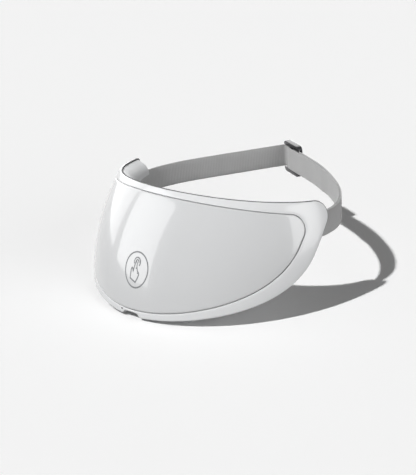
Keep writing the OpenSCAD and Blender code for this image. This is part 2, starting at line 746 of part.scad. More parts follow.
// Soft rest under the neck side, flat below, cut to the inner cover's neck face
foot = skin(0, bottom_w(0), 0);
foot_h = 1.67559;
pad_top_in = 18.32258;
pad_front_y = foot[1] + pad_front_in;
pad_back_y = foot[1] + pad_back_in;
pad_top_y = foot[1] + pad_top_in;
pad_back_r = pad_half_w + 4;
module rest_pad() color([0.8, 0.81, 0.82]) difference() {
    translate([0, 0, foot[2] - foot_h]) intersection() {
        rotate([90, 0, 90]) linear_extrude(3 * pad_half_w, center = true)
            polygon([
                [pad_front_y - 1, 0], [pad_back_y - 1, 0], [pad_back_y, 1], [pad_back_y, pad_back_h],
                [pad_back_y - 2, pad_back_h + 1.5], [pad_top_y, pad_front_h], [pad_front_y - 1, pad_front_h]
            ]);
        translate([0, 0, -1]) linear_extrude(pad_front_h + 2)
            intersection() {
                translate([0, pad_back_y - pad_back_r]) circle(r = pad_back_r, $fn = 96);
                translate([0, pad_front_y + pad_front_r]) circle(r = pad_front_r, $fn = 96);
                square([2 * pad_half_w, 4 * pad_front_r], center = true);
            }
    }
    lofted(concat(
        [for (k = [0.6, 1]) ring(shrink(body_line(tray_run), k), 6)],
        [for (q = tray_steps) ring(body_line(edge_break - touch_gap + tray_run * (1 - cos(q))),
            tray_top + tray_flat + (body_d + touch_gap - tray_top - tray_flat) * sin(q))],
        rings_in(body_line(edge_break - touch_gap + tray_run), body_d + touch_gap)
    ), 6, body_d + touch_gap);
}

front_cover();
front_panel();
rim_seal();
inner_cover();
status_light();
status_led();
touch_electrode();
touch_spring();
main_board();
main_chips();
board_screws();
usb_shell();
usb_tongue();
battery_left();
battery_right();
battery_pad_left();
battery_pad_right();
led_carrier();
led_strip_1();
led_strip_2();
led_strip_3();
led_strip_4();
led_strip_5();
leds_1();
leds_2();
leds_3();
leds_4();
leds_5();
strap_bracket_left();
strap_bracket_right();
bracket_screws();
strap_pin_left();
strap_pin_right();
strap();
strap_tab();
strap_return();
adjuster();
rest_pad();
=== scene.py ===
"""LED neck device, dressed for its portrait.

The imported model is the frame. The visible shells are moulded again from the same barrel as the solids,
but finer and with their real edge rounding, and the band is woven again as elastic webbing. Lengths are
in millimetres until a mesh is finished, and in metres on the finished objects.
"""

from __future__ import annotations

import json
import logging
import math
from dataclasses import dataclass, field
from enum import Enum
from typing import Iterable, Sequence

import bmesh
import bpy
from mathutils import Matrix, Vector

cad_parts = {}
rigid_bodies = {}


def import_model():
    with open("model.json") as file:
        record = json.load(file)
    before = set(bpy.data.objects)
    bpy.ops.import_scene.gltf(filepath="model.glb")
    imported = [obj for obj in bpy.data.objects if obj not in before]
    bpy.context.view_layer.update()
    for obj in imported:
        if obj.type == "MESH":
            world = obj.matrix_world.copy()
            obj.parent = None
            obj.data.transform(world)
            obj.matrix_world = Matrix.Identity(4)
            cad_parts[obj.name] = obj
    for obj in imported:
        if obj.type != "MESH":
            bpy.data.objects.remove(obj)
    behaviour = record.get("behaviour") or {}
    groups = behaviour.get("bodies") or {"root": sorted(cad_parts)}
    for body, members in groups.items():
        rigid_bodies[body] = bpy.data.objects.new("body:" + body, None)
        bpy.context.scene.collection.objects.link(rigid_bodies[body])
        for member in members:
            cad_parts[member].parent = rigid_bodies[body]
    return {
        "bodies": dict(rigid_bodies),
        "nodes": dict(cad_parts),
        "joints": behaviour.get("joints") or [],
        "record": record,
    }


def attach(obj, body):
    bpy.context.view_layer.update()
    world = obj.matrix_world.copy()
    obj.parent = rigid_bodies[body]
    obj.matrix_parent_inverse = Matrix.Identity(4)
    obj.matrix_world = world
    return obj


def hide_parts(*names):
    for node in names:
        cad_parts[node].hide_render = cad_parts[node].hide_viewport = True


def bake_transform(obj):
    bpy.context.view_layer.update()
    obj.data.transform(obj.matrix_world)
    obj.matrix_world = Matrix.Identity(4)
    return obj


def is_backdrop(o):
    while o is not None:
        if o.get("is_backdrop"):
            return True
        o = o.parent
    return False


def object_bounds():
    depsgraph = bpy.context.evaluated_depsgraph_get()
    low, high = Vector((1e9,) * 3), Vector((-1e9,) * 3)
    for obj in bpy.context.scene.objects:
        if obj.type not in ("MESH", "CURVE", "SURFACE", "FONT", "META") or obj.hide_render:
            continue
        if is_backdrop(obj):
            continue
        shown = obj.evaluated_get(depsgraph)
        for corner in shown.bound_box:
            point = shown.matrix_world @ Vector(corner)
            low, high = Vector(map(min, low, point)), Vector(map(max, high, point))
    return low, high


LOG = logging.getLogger("neck_device")
MM = 0.001
Place = tuple[float, float, float]


class Body(Enum):
    """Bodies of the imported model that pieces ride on."""

    DEVICE = "device"
    ADJUSTER = "adjuster"


class Side(Enum):
    """Side of the shell, as the sign of its x."""

    LEFT = -1
    RIGHT = 1


# Geometry that every sub-assembly shares


def lerp(a: float, b: float, share: float) -> float:
    """Returns the value that lies share of the way from a to b."""
    return a + (b - a) * share


def held(share: float) -> float:
    """Returns a share, held between 0 and 1."""
    return max(0.0, min(share, 1.0))


def quarter(steps: int) -> list[tuple[float, float]]:
    """Returns the sine and cosine at each step of a quarter turn."""
    return [(math.sin(q), math.cos(q)) for q in (math.pi / 2 * i / steps for i in range(steps + 1))]


def frame_of(*axes: Vector) -> Matrix:
    """Returns the frame that has these vectors as its axes, and the fourth as its origin."""
    frame = Matrix.Identity(4)
    for column, axis in enumerate(axes):
        for row in range(3):
            frame[row][column] = axis[row]
    return frame


@dataclass(frozen=True)
class Barrel:
    """The leaning barrel that the shell follows.

    A point on the unrolled barrel is (s, w, height): s runs round the neck, w up along the axis,
    and height outward from the moulded skin.
    """

    ring_r: float = 89.5
    bulge_r: float = 137.5
    ring_w: float = 31.2
    lean: float = math.radians(37.6)
    axis_y: float = -13.4
    axis_z: float = -5.6

    def rise(self, w: float) -> float:
        """Returns the slope angle of the skin at w."""
        return math.asin((w - self.ring_w) / self.bulge_r)

    def radius(self, w: float, depth: float) -> float:
        """Returns the distance from the axis at w and a depth under the skin."""
        return self.ring_r - self.bulge_r + (self.bulge_r - depth) * math.cos(self.rise(w))

    def height(self, w: float, depth: float) -> float:
        """Returns the height along the axis at w and a depth under the skin."""
        return self.ring_w + (self.bulge_r - depth) * math.sin(self.rise(w))

    def tilt(self, v: Vector) -> Vector:
        """Returns a direction of the upright barrel, leaned back with it."""
        c, s = math.cos(self.lean), math.sin(self.lean)
        return Vector((v.x, v.y * c + v.z * s, v.z * c - v.y * s))

    def skin(self, s: float, w: float, depth: float = 0.0) -> Vector:
        """Returns the place in space of a point on the unrolled barrel."""
        turn, r = s / self.ring_r, self.radius(w, depth)
        upright = Vector((r * math.sin(turn), -r * math.cos(turn), self.height(w, depth)))
        return self.tilt(upright) + Vector((0.0, self.axis_y, self.axis_z))

    def outward(self, s: float, w: float) -> Vector:
        """Returns the direction that points out of the skin."""
        turn, rise = s / self.ring_r, self.rise(w)
        flat = math.cos(rise)
        return self.tilt(Vector((flat * math.sin(turn), -flat * math.cos(turn), math.sin(rise))))

    def seat(self, s: float, w: float, depth: float) -> Matrix:
        """Returns the frame of a place on the shell: X round the neck, Y up, Z outward."""
        return (
            Matrix.Translation((0.0, self.axis_y, self.axis_z))
            @ Matrix.Rotation(-self.lean, 4, "X")
            @ Matrix.Rotation(s / self.ring_r, 4, "Z")
            @ Matrix.Translation((0.0, -self.radius(w, depth), self.height(w, depth)))
            @ Matrix.Rotation(math.pi / 2 - self.rise(w), 4, "X")
        )

    def roll(self, bm: bmesh.types.BMesh) -> None:
        """Rolls a flat mesh of (s, w, height) points onto the barrel."""
        for vert in bm.verts:
            vert.co = self.skin(vert.co.x, vert.co.y, -vert.co.z)


BARREL = Barrel()


@dataclass(frozen=True)
class Notch:
    """The notch in the bottom edge, over the charging socket."""

    half_roof: float = 6.75
    half_mouth: float = 10.5
    height: float = 2.2
    fillet: float = 0.5
    reach: float = 0.4

    def lift(self, s: float) -> float:
        """Returns how far the notch reaches above the bottom edge at s, negative beside it."""
        slope = self.height / (self.half_mouth - self.half_roof)
        ramp = (self.half_mouth - abs(s)) * slope
        gap = ramp - self.height
        if abs(gap) < self.fillet:
            return self.height - (self.fillet - gap) ** 2 / (4 * self.fillet)
        return min(ramp, self.height)


NOTCH = Notch()


# The point that the rings of a large face shrink to, and the bow of the middle line through it
HUB = Vector((0.0, -5.0, 0.0))
HUB_BOW = 0.0035


@dataclass(frozen=True)
class Outline:
    """An outline on the unrolled barrel: elliptic below, upright ends, round corners, a sagging top."""

    half: float
    drop: float
    top: float
    top_r: float
    corner: float
    shoulder: float = 30.0
    low_turns: tuple[float, ...] = ()
    side_count: int = 8
    corner_count: int = 12
    top_count: int = 64

    @staticmethod
    def low_stations(half: float, dense: float = 12.0) -> tuple[float, ...]:
        """Spreads stations along the bottom, close together at the notch.

        Args:
            half: Half length of the outline round the neck.
            dense: Half length of the stretch with close stations.

        Returns:
            Angles on the ellipse, from the left shoulder to the right one.
        """
        wide, close, lowest = 60, 26, 1.5 * math.pi
        edge = math.asin(dense / half)
        left = [math.pi + (math.pi / 2 - edge) * i / wide for i in range(wide)]
        near = [lowest + math.asin(-dense / half * (1 - i / close)) for i in range(2 * close + 1)]
        right = [lowest + edge + (math.pi / 2 - edge) * i / wide for i in range(1, wide)]
        return tuple(left + near + right)

    def bottom(self, s: float) -> float:
        """Returns the height of the bottom edge at s."""
        return self.shoulder - self.drop * math.sqrt(max(0.0, 1 - (s / self.half) ** 2))

    @staticmethod
    def middle(s: float) -> float:
        """Returns the height of the curved middle line that the rings of a face shrink to."""
        return HUB.y + HUB_BOW * s * s

    def raised(
        self, flat: Sequence[Vector], rise: float, reach: float = 1e9, fade: float = 1.0
    ) -> list[Vector]:
        """Pushes the top edge and the upper corners of a ring outward.

        Args:
            flat: Points of a ring of this outline.
            rise: How far the top edge goes out.
            reach: Distance from the middle at which the rise starts to fade.
            fade: Length over which it fades.

        Returns:
            The ring, unchanged along the sides and the bottom.
        """
        first = len(self.low_turns)
        last = first + self.side_count + 2 * self.corner_count + self.top_count
        lifted = []
        for i, p in enumerate(flat):
            share = held(min(i - first, last + self.side_count - i) / self.side_count)
            share *= held(1.0 - (abs(p.x) - reach) / fade)
            run = (flat[(i + 1) % len(flat)] - flat[i - 1]).normalized()
            smooth = share * share * (3 - 2 * share)
            lifted.append(p + Vector((run.y, -run.x, 0.0)) * (rise * smooth))
        return lifted

    def ring(self, inset: float = 0.0, shrink: float = 1.0) -> list[Vector]:
        """Places one ring of the outline.

        Args:
            inset: Distance inside the outline.
            shrink: Scale towards the middle line and the hub, for rings inside a large face.

        Returns:
            Flat points (s, w), from the left shoulder along the bottom and back over the top.
        """
        reach = self.top_r + inset
        cr = max(self.corner - inset, 0.6)
        cx = self.half - inset - cr
        cw = self.top + self.top_r - math.sqrt((reach + cr) ** 2 - cx**2)
        q0 = math.acos(cx / (reach + cr))
        points: list[tuple[float, float]] = []
        for q in self.low_turns:
            c, s = math.cos(q), math.sin(q)
            nx, ny = c / self.half, s / self.drop
            size = math.hypot(nx, ny)
            low = self.shoulder + self.drop * s
            points.append((self.half * c - inset * nx / size, low - inset * ny / size))
        for i in range(self.side_count):
            points.append((self.half - inset, lerp(self.shoulder, cw, i / self.side_count)))
        for i in range(self.corner_count):
            q = (math.pi - q0) * i / self.corner_count
            points.append((cx + cr * math.cos(q), cw + cr * math.sin(q)))
        for i in range(self.top_count + 1):
            q = q0 + (math.pi - 2 * q0) * i / self.top_count
            points.append((reach * math.cos(q), self.top + self.top_r - reach * math.sin(q)))
        for i in range(1, self.corner_count + 1):
            q = q0 + (math.pi - q0) * i / self.corner_count
            points.append((-cx + cr * math.cos(q), cw + cr * math.sin(q)))
        for i in range(1, self.side_count):
            points.append((inset - self.half, lerp(cw, self.shoulder, i / self.side_count)))
        return [
            Vector((s * shrink, self.middle(s * shrink) + (w - self.middle(s)) * shrink, 0.0))
            for s, w in points
        ]


LOW_TURNS = Outline.low_stations(108.5)
BODY_LINE = Outline(half=108.5, drop=73.0, top=32.3, top_r=192.0, corner=8.5, low_turns=LOW_TURNS)
PANEL_LINE = Outline(half=97.3, drop=69.5, top=28.2, top_r=230.0, corner=9.0, low_turns=LOW_TURNS)


def body_ring(inset: float, above: float = 0.0) -> list[Vector]:
    """Places a ring of the shell, with its bottom lifted over the notch.

    Args:
        inset: Distance inside the shell's outline.
        above: Distance to keep above the notch's roof.

    Returns:
        Flat points, nowhere lower than the roof and that distance.
    """
    base = BODY_LINE.bottom(0.0)
    lifted = []
    for p in BODY_LINE.ring(inset):
        lift = NOTCH.lift(p.x)
        floor = base + lift + above if lift > -NOTCH.reach and p.y < 0 else -math.inf
        lifted.append(Vector((p.x, max(p.y, floor), 0.0)))
    return lifted


def mixed(first: Sequence[Vector], last: Sequence[Vector], share: float) -> list[Vector]:
    """Returns the ring that lies share of the way between two rings."""
    return [a.lerp(b, share) for a, b in zip(first, last)]


def smooth_by_angle(piece: bpy.types.Object, degrees: float = 32.0) -> None:
    """Shades a mesh smooth and keeps its edges sharp above an angle."""
    piece.data.shade_smooth()
    piece.data.set_sharp_from_angle(angle=math.radians(degrees))


def make_object(bm: bmesh.types.BMesh, name: str, sharp: float = 32.0) -> bpy.types.Object:
    """Turns a finished mesh, in millimetres, into an object at the origin, in metres.

    Args:
        bm: The mesh, which is freed.
        name: Name of the piece.
        sharp: Angle above which its edges stay sharp, in degrees.
    """
    bmesh.ops.scale(bm, vec=(MM, MM, MM), verts=bm.verts)
    mesh = bpy.data.meshes.new(name)
    bm.to_mesh(mesh)
    bm.free()
    piece = bpy.data.objects.new(name, mesh)
    bpy.context.scene.collection.objects.link(piece)
    smooth_by_angle(piece, sharp)
    return piece


def extruded(
    bm: bmesh.types.BMesh, edges: Sequence[bmesh.types.BMEdge], verts: Sequence[bmesh.types.BMVert]
) -> list[bmesh.types.BMVert]:
    """Extrudes edges and returns the copies of their vertices, in the same order."""
    made = bmesh.ops.extrude_edge_only(bm, edges=edges)
    fresh = {g for g in made["geom"] if isinstance(g, bmesh.types.BMVert)}
    return [next(e.other_vert(v) for e in v.link_edges if e.other_vert(v) in fresh) for v in verts]


class RingSkin:
    """A surface that grows ring by ring from one closed loop, by extrusion."""

    def __init__(self, start: Sequence[Vector]) -> None:
        """Starts with a circle of as many vertices as the first ring has points."""
        self.bm = bmesh.new()
        made = bmesh.ops.create_circle(self.bm, cap_ends=False, segments=len(start), radius=1.0)
        self.ring: list[bmesh.types.BMVert] = list(made["verts"])
        self.first = list(self.ring)
        self.put(self.ring, start)

    @staticmethod
    def put(verts: Sequence[bmesh.types.BMVert], places: Sequence[Vector]) -> None:
        """Moves vertices to their places."""
        for vert, place in zip(verts, places):
            vert.co = place

    def grow(self, ring: Sequence[bmesh.types.BMVert]) -> list[bmesh.types.BMVert]:
        """Extrudes a ring and returns its copy, in the same order."""
        edges = []
        for i, vert in enumerate(ring):
            after = ring[(i + 1) % len(ring)]
            edges.append(next(e for e in vert.link_edges if e.other_vert(vert) is after))
        return extruded(self.bm, edges, ring)

    def add(self, places: Sequence[Vector]) -> None:
        """Extrudes the last ring to new places."""
        self.ring = self.grow(self.ring)
        self.put(self.ring, places)

    def close(self, last_hub: Vector | None, first_hub: Vector | None) -> None:
        """Draws both ends together, each at its hub, or joins them where there is no hub."""
        if last_hub is None or first_hub is None:
            edges = [e for e in self.bm.edges if e.is_boundary]
            bmesh.ops.bridge_loops(self.bm, edges=edges)
        else:
            for ring, hub in ((self.ring, last_hub), (self.first, first_hub)):
                bmesh.ops.pointmerge(self.bm, verts=self.grow(ring), merge_co=hub)
        bmesh.ops.recalc_face_normals(self.bm, faces=self.bm.faces)


@dataclass
class Layers:
    """Rings of a shell on the unrolled barrel, from its hub outward and back."""

    rings: list[list[Vector]] = field(default_factory=list)

    def add(self, flat: Sequence[Vector], depth: float) -> None:
        """Adds a ring at a depth under the skin."""
        self.rings.append([Vector((p.x, p.y, -depth)) for p in flat])

    def face(self, line: Outline, inset: float, depth: float, steps: int, outward: bool) -> None:
        """Adds the rings inside a large face.

        Args:
            line: Outline of the face.
            inset: Distance inside it.
            depth: Depth under the skin.
            steps: Number of rings, without the outermost.
            outward: True if the rings go from the hub to the edge.
        """
        shares = [(i + 0.5) / (steps + 0.5) for i in range(steps)]
        for share in shares if outward else reversed(shares):
            self.add(line.ring(inset, share), depth)

    def build(self, name: str, hubs: bool = True) -> bmesh.types.BMesh:
        """Skins the rings and rolls them onto the barrel.

        Args:
            name: Name for the log.
            hubs: True if both ends close on the hub, False if the last ring joins the first.
        """
        skin = RingSkin(self.rings[0])
        for places in self.rings[1:]:
            skin.add(places)
        if hubs:
            skin.close(*(HUB + Vector((0, 0, ring[0].z)) for ring in (self.rings[-1], self.rings[0])))
        else:
            skin.close(None, None)
        BARREL.roll(skin.bm)
        bmesh.ops.recalc_face_normals(skin.bm, faces=skin.bm.faces)
        LOG.info("%s: %d faces", name, len(skin.bm.faces))
        return skin.bm


def carved(target: bpy.types.Object, cutters: Iterable[bpy.types.Object]) -> bpy.types.Object:
    """Cuts solids out of a piece, makes the result its mesh and removes the solids."""
    tools = list(cutters)
    for tool in tools:
        cut = target.modifiers.new("cut", "BOOLEAN")
        cut.operation = "DIFFERENCE"
        cut.solver = "EXACT"
        cut.object = tool
    bpy.context.view_layer.update()
    graph = bpy.context.evaluated_depsgraph_get()
    mesh = bpy.data.meshes.new_from_object(target.evaluated_get(graph))
    target.modifiers.clear()
    old = target.data
    target.data = mesh
    bpy.data.meshes.remove(old)
    for tool in tools:
        bpy.data.objects.remove(tool)
    smooth_by_angle(target)
    return target


def round_edges(
    bm: bmesh.types.BMesh, edges: Sequence[bmesh.types.BMEdge], bevel: float, segments: int
) -> None:
    """Rounds edges of a mesh, in so many faces across the rounding."""
    shape = {"profile": 0.5, "affect": "EDGES", "clamp_overlap": True, "material": -1}
    bmesh.ops.bevel(bm, geom=edges, offset=bevel, segments=segments, **shape)


def rounded_box(size: Vector, bevel: float, place: Matrix, name: str) -> bpy.types.Object:
    """Makes a box with rounded edges.

    Args:
        size: Its three lengths.
        bevel: Rounding of its edges.
        place: Its frame, in millimetres.
        name: Name of the piece.
    """
    bm = bmesh.new()
    bmesh.ops.create_cube(bm, size=1.0)
    bmesh.ops.scale(bm, vec=size, verts=bm.verts)
    round_edges(bm, bm.edges[:], bevel, 4)
    bmesh.ops.transform(bm, matrix=place, verts=bm.verts)
    if place.determinant() < 0:
        bmesh.ops.reverse_faces(bm, faces=bm.faces)
    return make_object(bm, name)


def softened(node: bpy.types.Object, name: str, bevel: float, sharp: float = 40.0) -> bpy.types.Object:
    """Copies a CAD node, merges its loose triangles and rounds its sharp edges.

    Args:
        node: The CAD node.
        name: Name of the new piece.
        bevel: Rounding, in millimetres.
        sharp: Angle above which an edge is rounded, in degrees.
    """
    bm = bmesh.new()
    bm.from_mesh(node.data)
    bmesh.ops.scale(bm, vec=(1 / MM,) * 3, verts=bm.verts)
    bmesh.ops.remove_doubles(bm, verts=bm.verts, dist=0.002)
    bmesh.ops.dissolve_limit(
        bm, angle_limit=math.radians(1.0), verts=bm.verts, edges=bm.edges, use_dissolve_boundaries=False
    )
    limit = math.radians(sharp)
    edges = [e for e in bm.edges if len(e.link_faces) == 2 and e.calc_face_angle(0.0) > limit]
    round_edges(bm, edges, bevel, 3)
    return make_object(bm, name, 35.0)


# Finishes


def linear(code: str) -> tuple[float, float, float, float]:
    """Turns an sRGB hex value of six digits into a linear colour with its alpha."""
    parts = [int(code[i : i + 2], 16) / 255 for i in (0, 2, 4)]
    flat = [p / 12.92 if p <= 0.04045 else ((p + 0.055) / 1.055) ** 2.4 for p in parts]
    return (flat[0], flat[1], flat[2], 1.0)


Value = bpy.types.NodeSocket


class Graph:
    """The shader nodes of a material or a world."""

    def __init__(self, owner: bpy.types.Material | bpy.types.World) -> None:
        """Starts with no nodes."""
        owner.use_nodes = True
        self.tree = owner.node_tree
        self.tree.nodes.clear()

    def add(
        self, kind: str, inputs: dict[str | int, object] | None = None, **settings: object
    ) -> bpy.types.Node:
        """Adds a node with its settings, values and links.

        Args:
            kind: Blender's name for the node, without its first word.
            inputs: Values or sockets by input.
            settings: Attributes of the node.
        """
        made = self.tree.nodes.new("ShaderNode" + kind)
        for name, value in settings.items():
            setattr(made, name, value)
        for key, value in (inputs or {}).items():
            if isinstance(value, Value):
                self.tree.links.new(value, made.inputs[key])
            else:
                made.inputs[key].default_value = value
        return made

    def calc(self, operation: str, *values: Value | float) -> Value:
        """Returns the result of an operation of the math node."""
        return self.add("Math", dict(enumerate(values)), operation=operation).outputs[0]

    def noise(self, where: Value, scale: float, detail: float) -> Value:
        """Returns the strength of a noise."""
        return self.add("TexNoise", {"Vector": where, "Scale": scale, "Detail": detail}).outputs["Fac"]

    def spread(
        self, value: Value, low: Value | float, high: float, start: float = 0.0, end: float = 1.0
    ) -> Value:
        """Returns a value between start and end, spread from low to high."""
        ends = {"Value": value, "From Min": start, "From Max": end, "To Min": low, "To Max": high}
        return self.add("MapRange", ends).outputs["Result"]

    def colours(self, share: Value, first: str, second: str) -> Value:
        """Returns the mix of two hex colours."""
        ends = {"Factor": share, "A": linear(first), "B": linear(second)}
        return self.add("Mix", ends, data_type="RGBA").outputs["Result"]


@dataclass(frozen=True)
class Finish:
    """A finish: what the material is, its colours and how its surface was made."""

    name: str
    colour: str
    second: str
    roughness: float
    metallic: float = 0.0
    ior: float = 1.5
    coat: float = 0.0
    coat_roughness: float = 0.03
    sheen: float = 0.0
    grain_mm: float = 0.4
    grain_depth: float = 0.02
    cloud_mm: float = 25.0
    rough_spread: float = 0.04

    def rough(self, graph: Graph, share: Value) -> Value:
        """Returns the roughness, which varies with a share."""
        low = max(self.roughness - self.rough_spread, 0.0)
        return graph.spread(share, low, self.roughness + self.rough_spread)

    def pattern(self, graph: Graph, where: Value) -> tuple[Value, Value, Value]:
        """Draws the surface.

        Args:
            graph: The material's nodes.
            where: Object coordinates, in metres.

        Returns:
            The colour, the roughness and the height in metres.
        """
        cloud = graph.noise(where, 1 / (self.cloud_mm * MM), 3.0)
        grain = graph.noise(where, 1 / (self.grain_mm * MM), 2.0)
        height = graph.calc("MULTIPLY", grain, self.grain_depth * MM)
        return graph.colours(cloud, self.colour, self.second), self.rough(graph, grain), height

    def build(self) -> bpy.types.Material:
        """Makes the material."""
        material = bpy.data.materials.new(self.name)
        graph = Graph(material)
        colour, rough, height = self.pattern(graph, graph.add("TexCoord").outputs["Object"])
        bump = graph.add("Bump", {"Height": height, "Strength": 1.0, "Distance": 1.0})
        inputs = {
            "Base Color": colour,
            "Roughness": rough,
            "Metallic": self.metallic,
            "IOR": self.ior,
            "Coat Weight": self.coat,
            "Coat Roughness": self.coat_roughness,
            "Sheen Weight": self.sheen,
            "Normal": bump.outputs["Normal"],
        }
        shader = graph.add("BsdfPrincipled", inputs)
        graph.add("OutputMaterial", {"Surface": shader.outputs["BSDF"]})
        material.diffuse_color = linear(self.colour)
        return material


@dataclass(frozen=True)
class ElasticWebbing(Finish):
    """Woven elastic band: picks across it, warp threads along it, and a firm selvedge.

    The piece's UV map holds millimetres along the band in u and across it in v.
    """

    pick_mm: float = 1.15
    warp_mm: float = 0.75
    half_width_mm: float = 7.5
    selvedge_mm: tuple[float, float] = (1.1, 0.7)
    weave_depth: float = 0.10
    rough_spread: float = 0.05

    def pattern(self, graph: Graph, where: Value) -> tuple[Value, Value, Value]:
        """Draws the weave on the band's own UV map."""
        uv = graph.add("UVMap", uv_map="band").outputs["UV"]
        split = graph.add("SeparateXYZ", {0: uv}).outputs
        waves = []
        for place, pitch in ((split[0], self.pick_mm), (split[1], self.warp_mm)):
            wave = graph.calc("SINE", graph.calc("MULTIPLY", place, 2 * math.pi / pitch))
            waves.append(graph.spread(wave, 0.0, 1.0, -1.0, 1.0))
        weave = graph.calc("MULTIPLY", *waves)
        fuzz = graph.noise(uv, 3.5, 3.0)
        cloud = graph.noise(uv, 0.08, 2.0)
        start, end = (self.half_width_mm - edge for edge in self.selvedge_mm)
        selvedge = graph.spread(graph.calc("ABSOLUTE", split[1]), 0.0, 1.0, start, end)
        shade = graph.calc("MULTIPLY_ADD", cloud, 0.3, graph.calc("MULTIPLY_ADD", weave, 0.55, 0.15))
        firm = graph.add("Mix", {"Factor": selvedge, "A": shade, "B": 0.2}).outputs["Result"]
        relief = graph.calc("MULTIPLY", weave, self.weave_depth * MM)
        relief = graph.calc("MULTIPLY_ADD", fuzz, self.grain_depth * MM, relief)
        return graph.colours(firm, self.second, self.colour), self.rough(graph, fuzz), relief


@dataclass(frozen=True)
class BrushedSteel(Finish):
    """Pressed sheet steel, with the fine lines of its rolling along one axis."""

    line_mm: float = 0.15
    line_stretch: float = 0.03
    rough_spread: float = 0.08

    def pattern(self, graph: Graph, where: Value) -> tuple[Value, Value, Value]:
        """Draws long thin lines along z."""
        along = graph.add("Mapping", {"Vector": where, "Scale": (1.0, 1.0, self.line_stretch)})
        lines = graph.noise(along.outputs["Vector"], 1 / (self.line_mm * MM), 2.0)
        height = graph.calc("MULTIPLY", lines, self.grain_depth * MM)
        return graph.colours(lines, self.colour, self.second), self.rough(graph, lines), height


# Injection-moulded ABS, polished tool: white with a clear gloss and the faint waviness of a thick moulding
GLOSS_ABS = Finish(
    "gloss_abs_moulded", "DADBDC", "D6D7D8", 0.22, ior=1.53, coat=0.7, coat_roughness=0.04,
    grain_mm=2.5, grain_depth=0.0015, cloud_mm=40.0,
)  # fmt: skip
# Panel of ABS under a UV-cured clear lacquer: the deepest gloss on the object
LACQUERED_PANEL = Finish(
    "lacquered_abs_panel", "C9CACB", "C6C7C8", 0.25, ior=1.53, coat=1.0, coat_roughness=0.015,
    grain_mm=3.0, grain_depth=0.001, cloud_mm=60.0,
)  # fmt: skip
# Inner cover of satin polycarbonate, moulded from a finely eroded tool so that it feels soft on skin
SATIN_PC = Finish(
    "satin_polycarbonate", "D2D3D4", "CCCDCE", 0.42, ior=1.58, grain_mm=0.35, grain_depth=0.004, cloud_mm=30.0
)
# TPE seal with hardly any gloss. Its dark colour is painted shade: it stands in for the shaded gap of the
# seam between the covers.
SEAM_SHADE_SEAL = Finish("seam_shade_seal", "4A4B4D", "3E3F41", 0.6, grain_mm=0.3, grain_depth=0.01)
# Smoked PMMA lens of the status light
SMOKED_PMMA = Finish(
    "smoked_pmma", "0B0B0C", "101012", 0.08, ior=1.49, coat=1.0, grain_mm=1.0, grain_depth=0.0005
)
# Liquid silicone rubber, satin, with a slight bloom
SILICONE = Finish(
    "silicone_rubber", "C9CBCD", "BFC1C4", 0.52, ior=1.42, sheen=0.15, grain_mm=0.25, grain_depth=0.006
)
# Polyester and rubber elastic, woven, mid grey
WEBBING = ElasticWebbing("elastic_webbing", "C8C8C8", "A9A9A9", 0.82, sheen=0.35, grain_depth=0.05)
# Sewing thread of bonded polyester
THREAD = Finish("polyester_thread", "BEBFC1", "9A9B9E", 0.6, sheen=0.4, grain_mm=0.15, grain_depth=0.03)
# Cast zinc slide, plated in black nickel
BLACK_NICKEL = Finish(
    "black_nickel_zinc", "303033", "27272A", 0.34, metallic=0.85, coat=0.25,
    grain_mm=0.3, grain_depth=0.006, cloud_mm=6.0,
)  # fmt: skip
# Pressed stainless steel, with its rolling lines
STEEL = BrushedSteel("pressed_steel", "C6C7C9", "A9AAAC", 0.32, metallic=1.0, grain_depth=0.004)
# Screen-printed ink, grey and matt on the gloss
PRINT_INK = Finish("screen_ink", "7E8082", "76787A", 0.5, grain_mm=0.2, grain_depth=0.004)
# Copper sheet of the electrode, its spring and the contacts
COPPER = Finish("copper_sheet", "D9936A", "C98257", 0.3, metallic=1.0, grain_mm=0.3, grain_depth=0.003)
# Green solder mask of the main board
SOLDER_MASK = Finish("solder_mask", "1F6B3A", "195A31", 0.35, coat=0.4, grain_mm=0.8, grain_depth=0.01)
# Moulded epoxy of the chips and the socket's tongue
EPOXY = Finish("moulded_epoxy", "232427", "1B1C1E", 0.6, grain_mm=0.12, grain_depth=0.01)
# Aluminium laminate round a cell, slightly crinkled
CELL_FOIL = Finish("laminate_foil", "C9CBCF", "B7B9BD", 0.35, metallic=0.9, grain_mm=1.5, grain_depth=0.02)
# Closed-cell foam under the cells
FOAM = Finish("closed_cell_foam", "3A3A3E", "2C2C30", 0.9, grain_mm=0.25, grain_depth=0.06)
# White ABS of the LED carrier
CARRIER_ABS = Finish("white_abs", "EEEFF0", "E8E9EA", 0.5, grain_mm=0.4, grain_depth=0.005)
# Amber polyimide film of the LED strips
POLYIMIDE = Finish("polyimide_film", "C98A2E", "B87A22", 0.3, coat=0.3, grain_mm=1.0, grain_depth=0.004)
# Yellowish resin of the LED packages
LED_PACKAGE = Finish("led_package", "F2EFC8", "E9E3A8", 0.4, grain_mm=0.3, grain_depth=0.01)


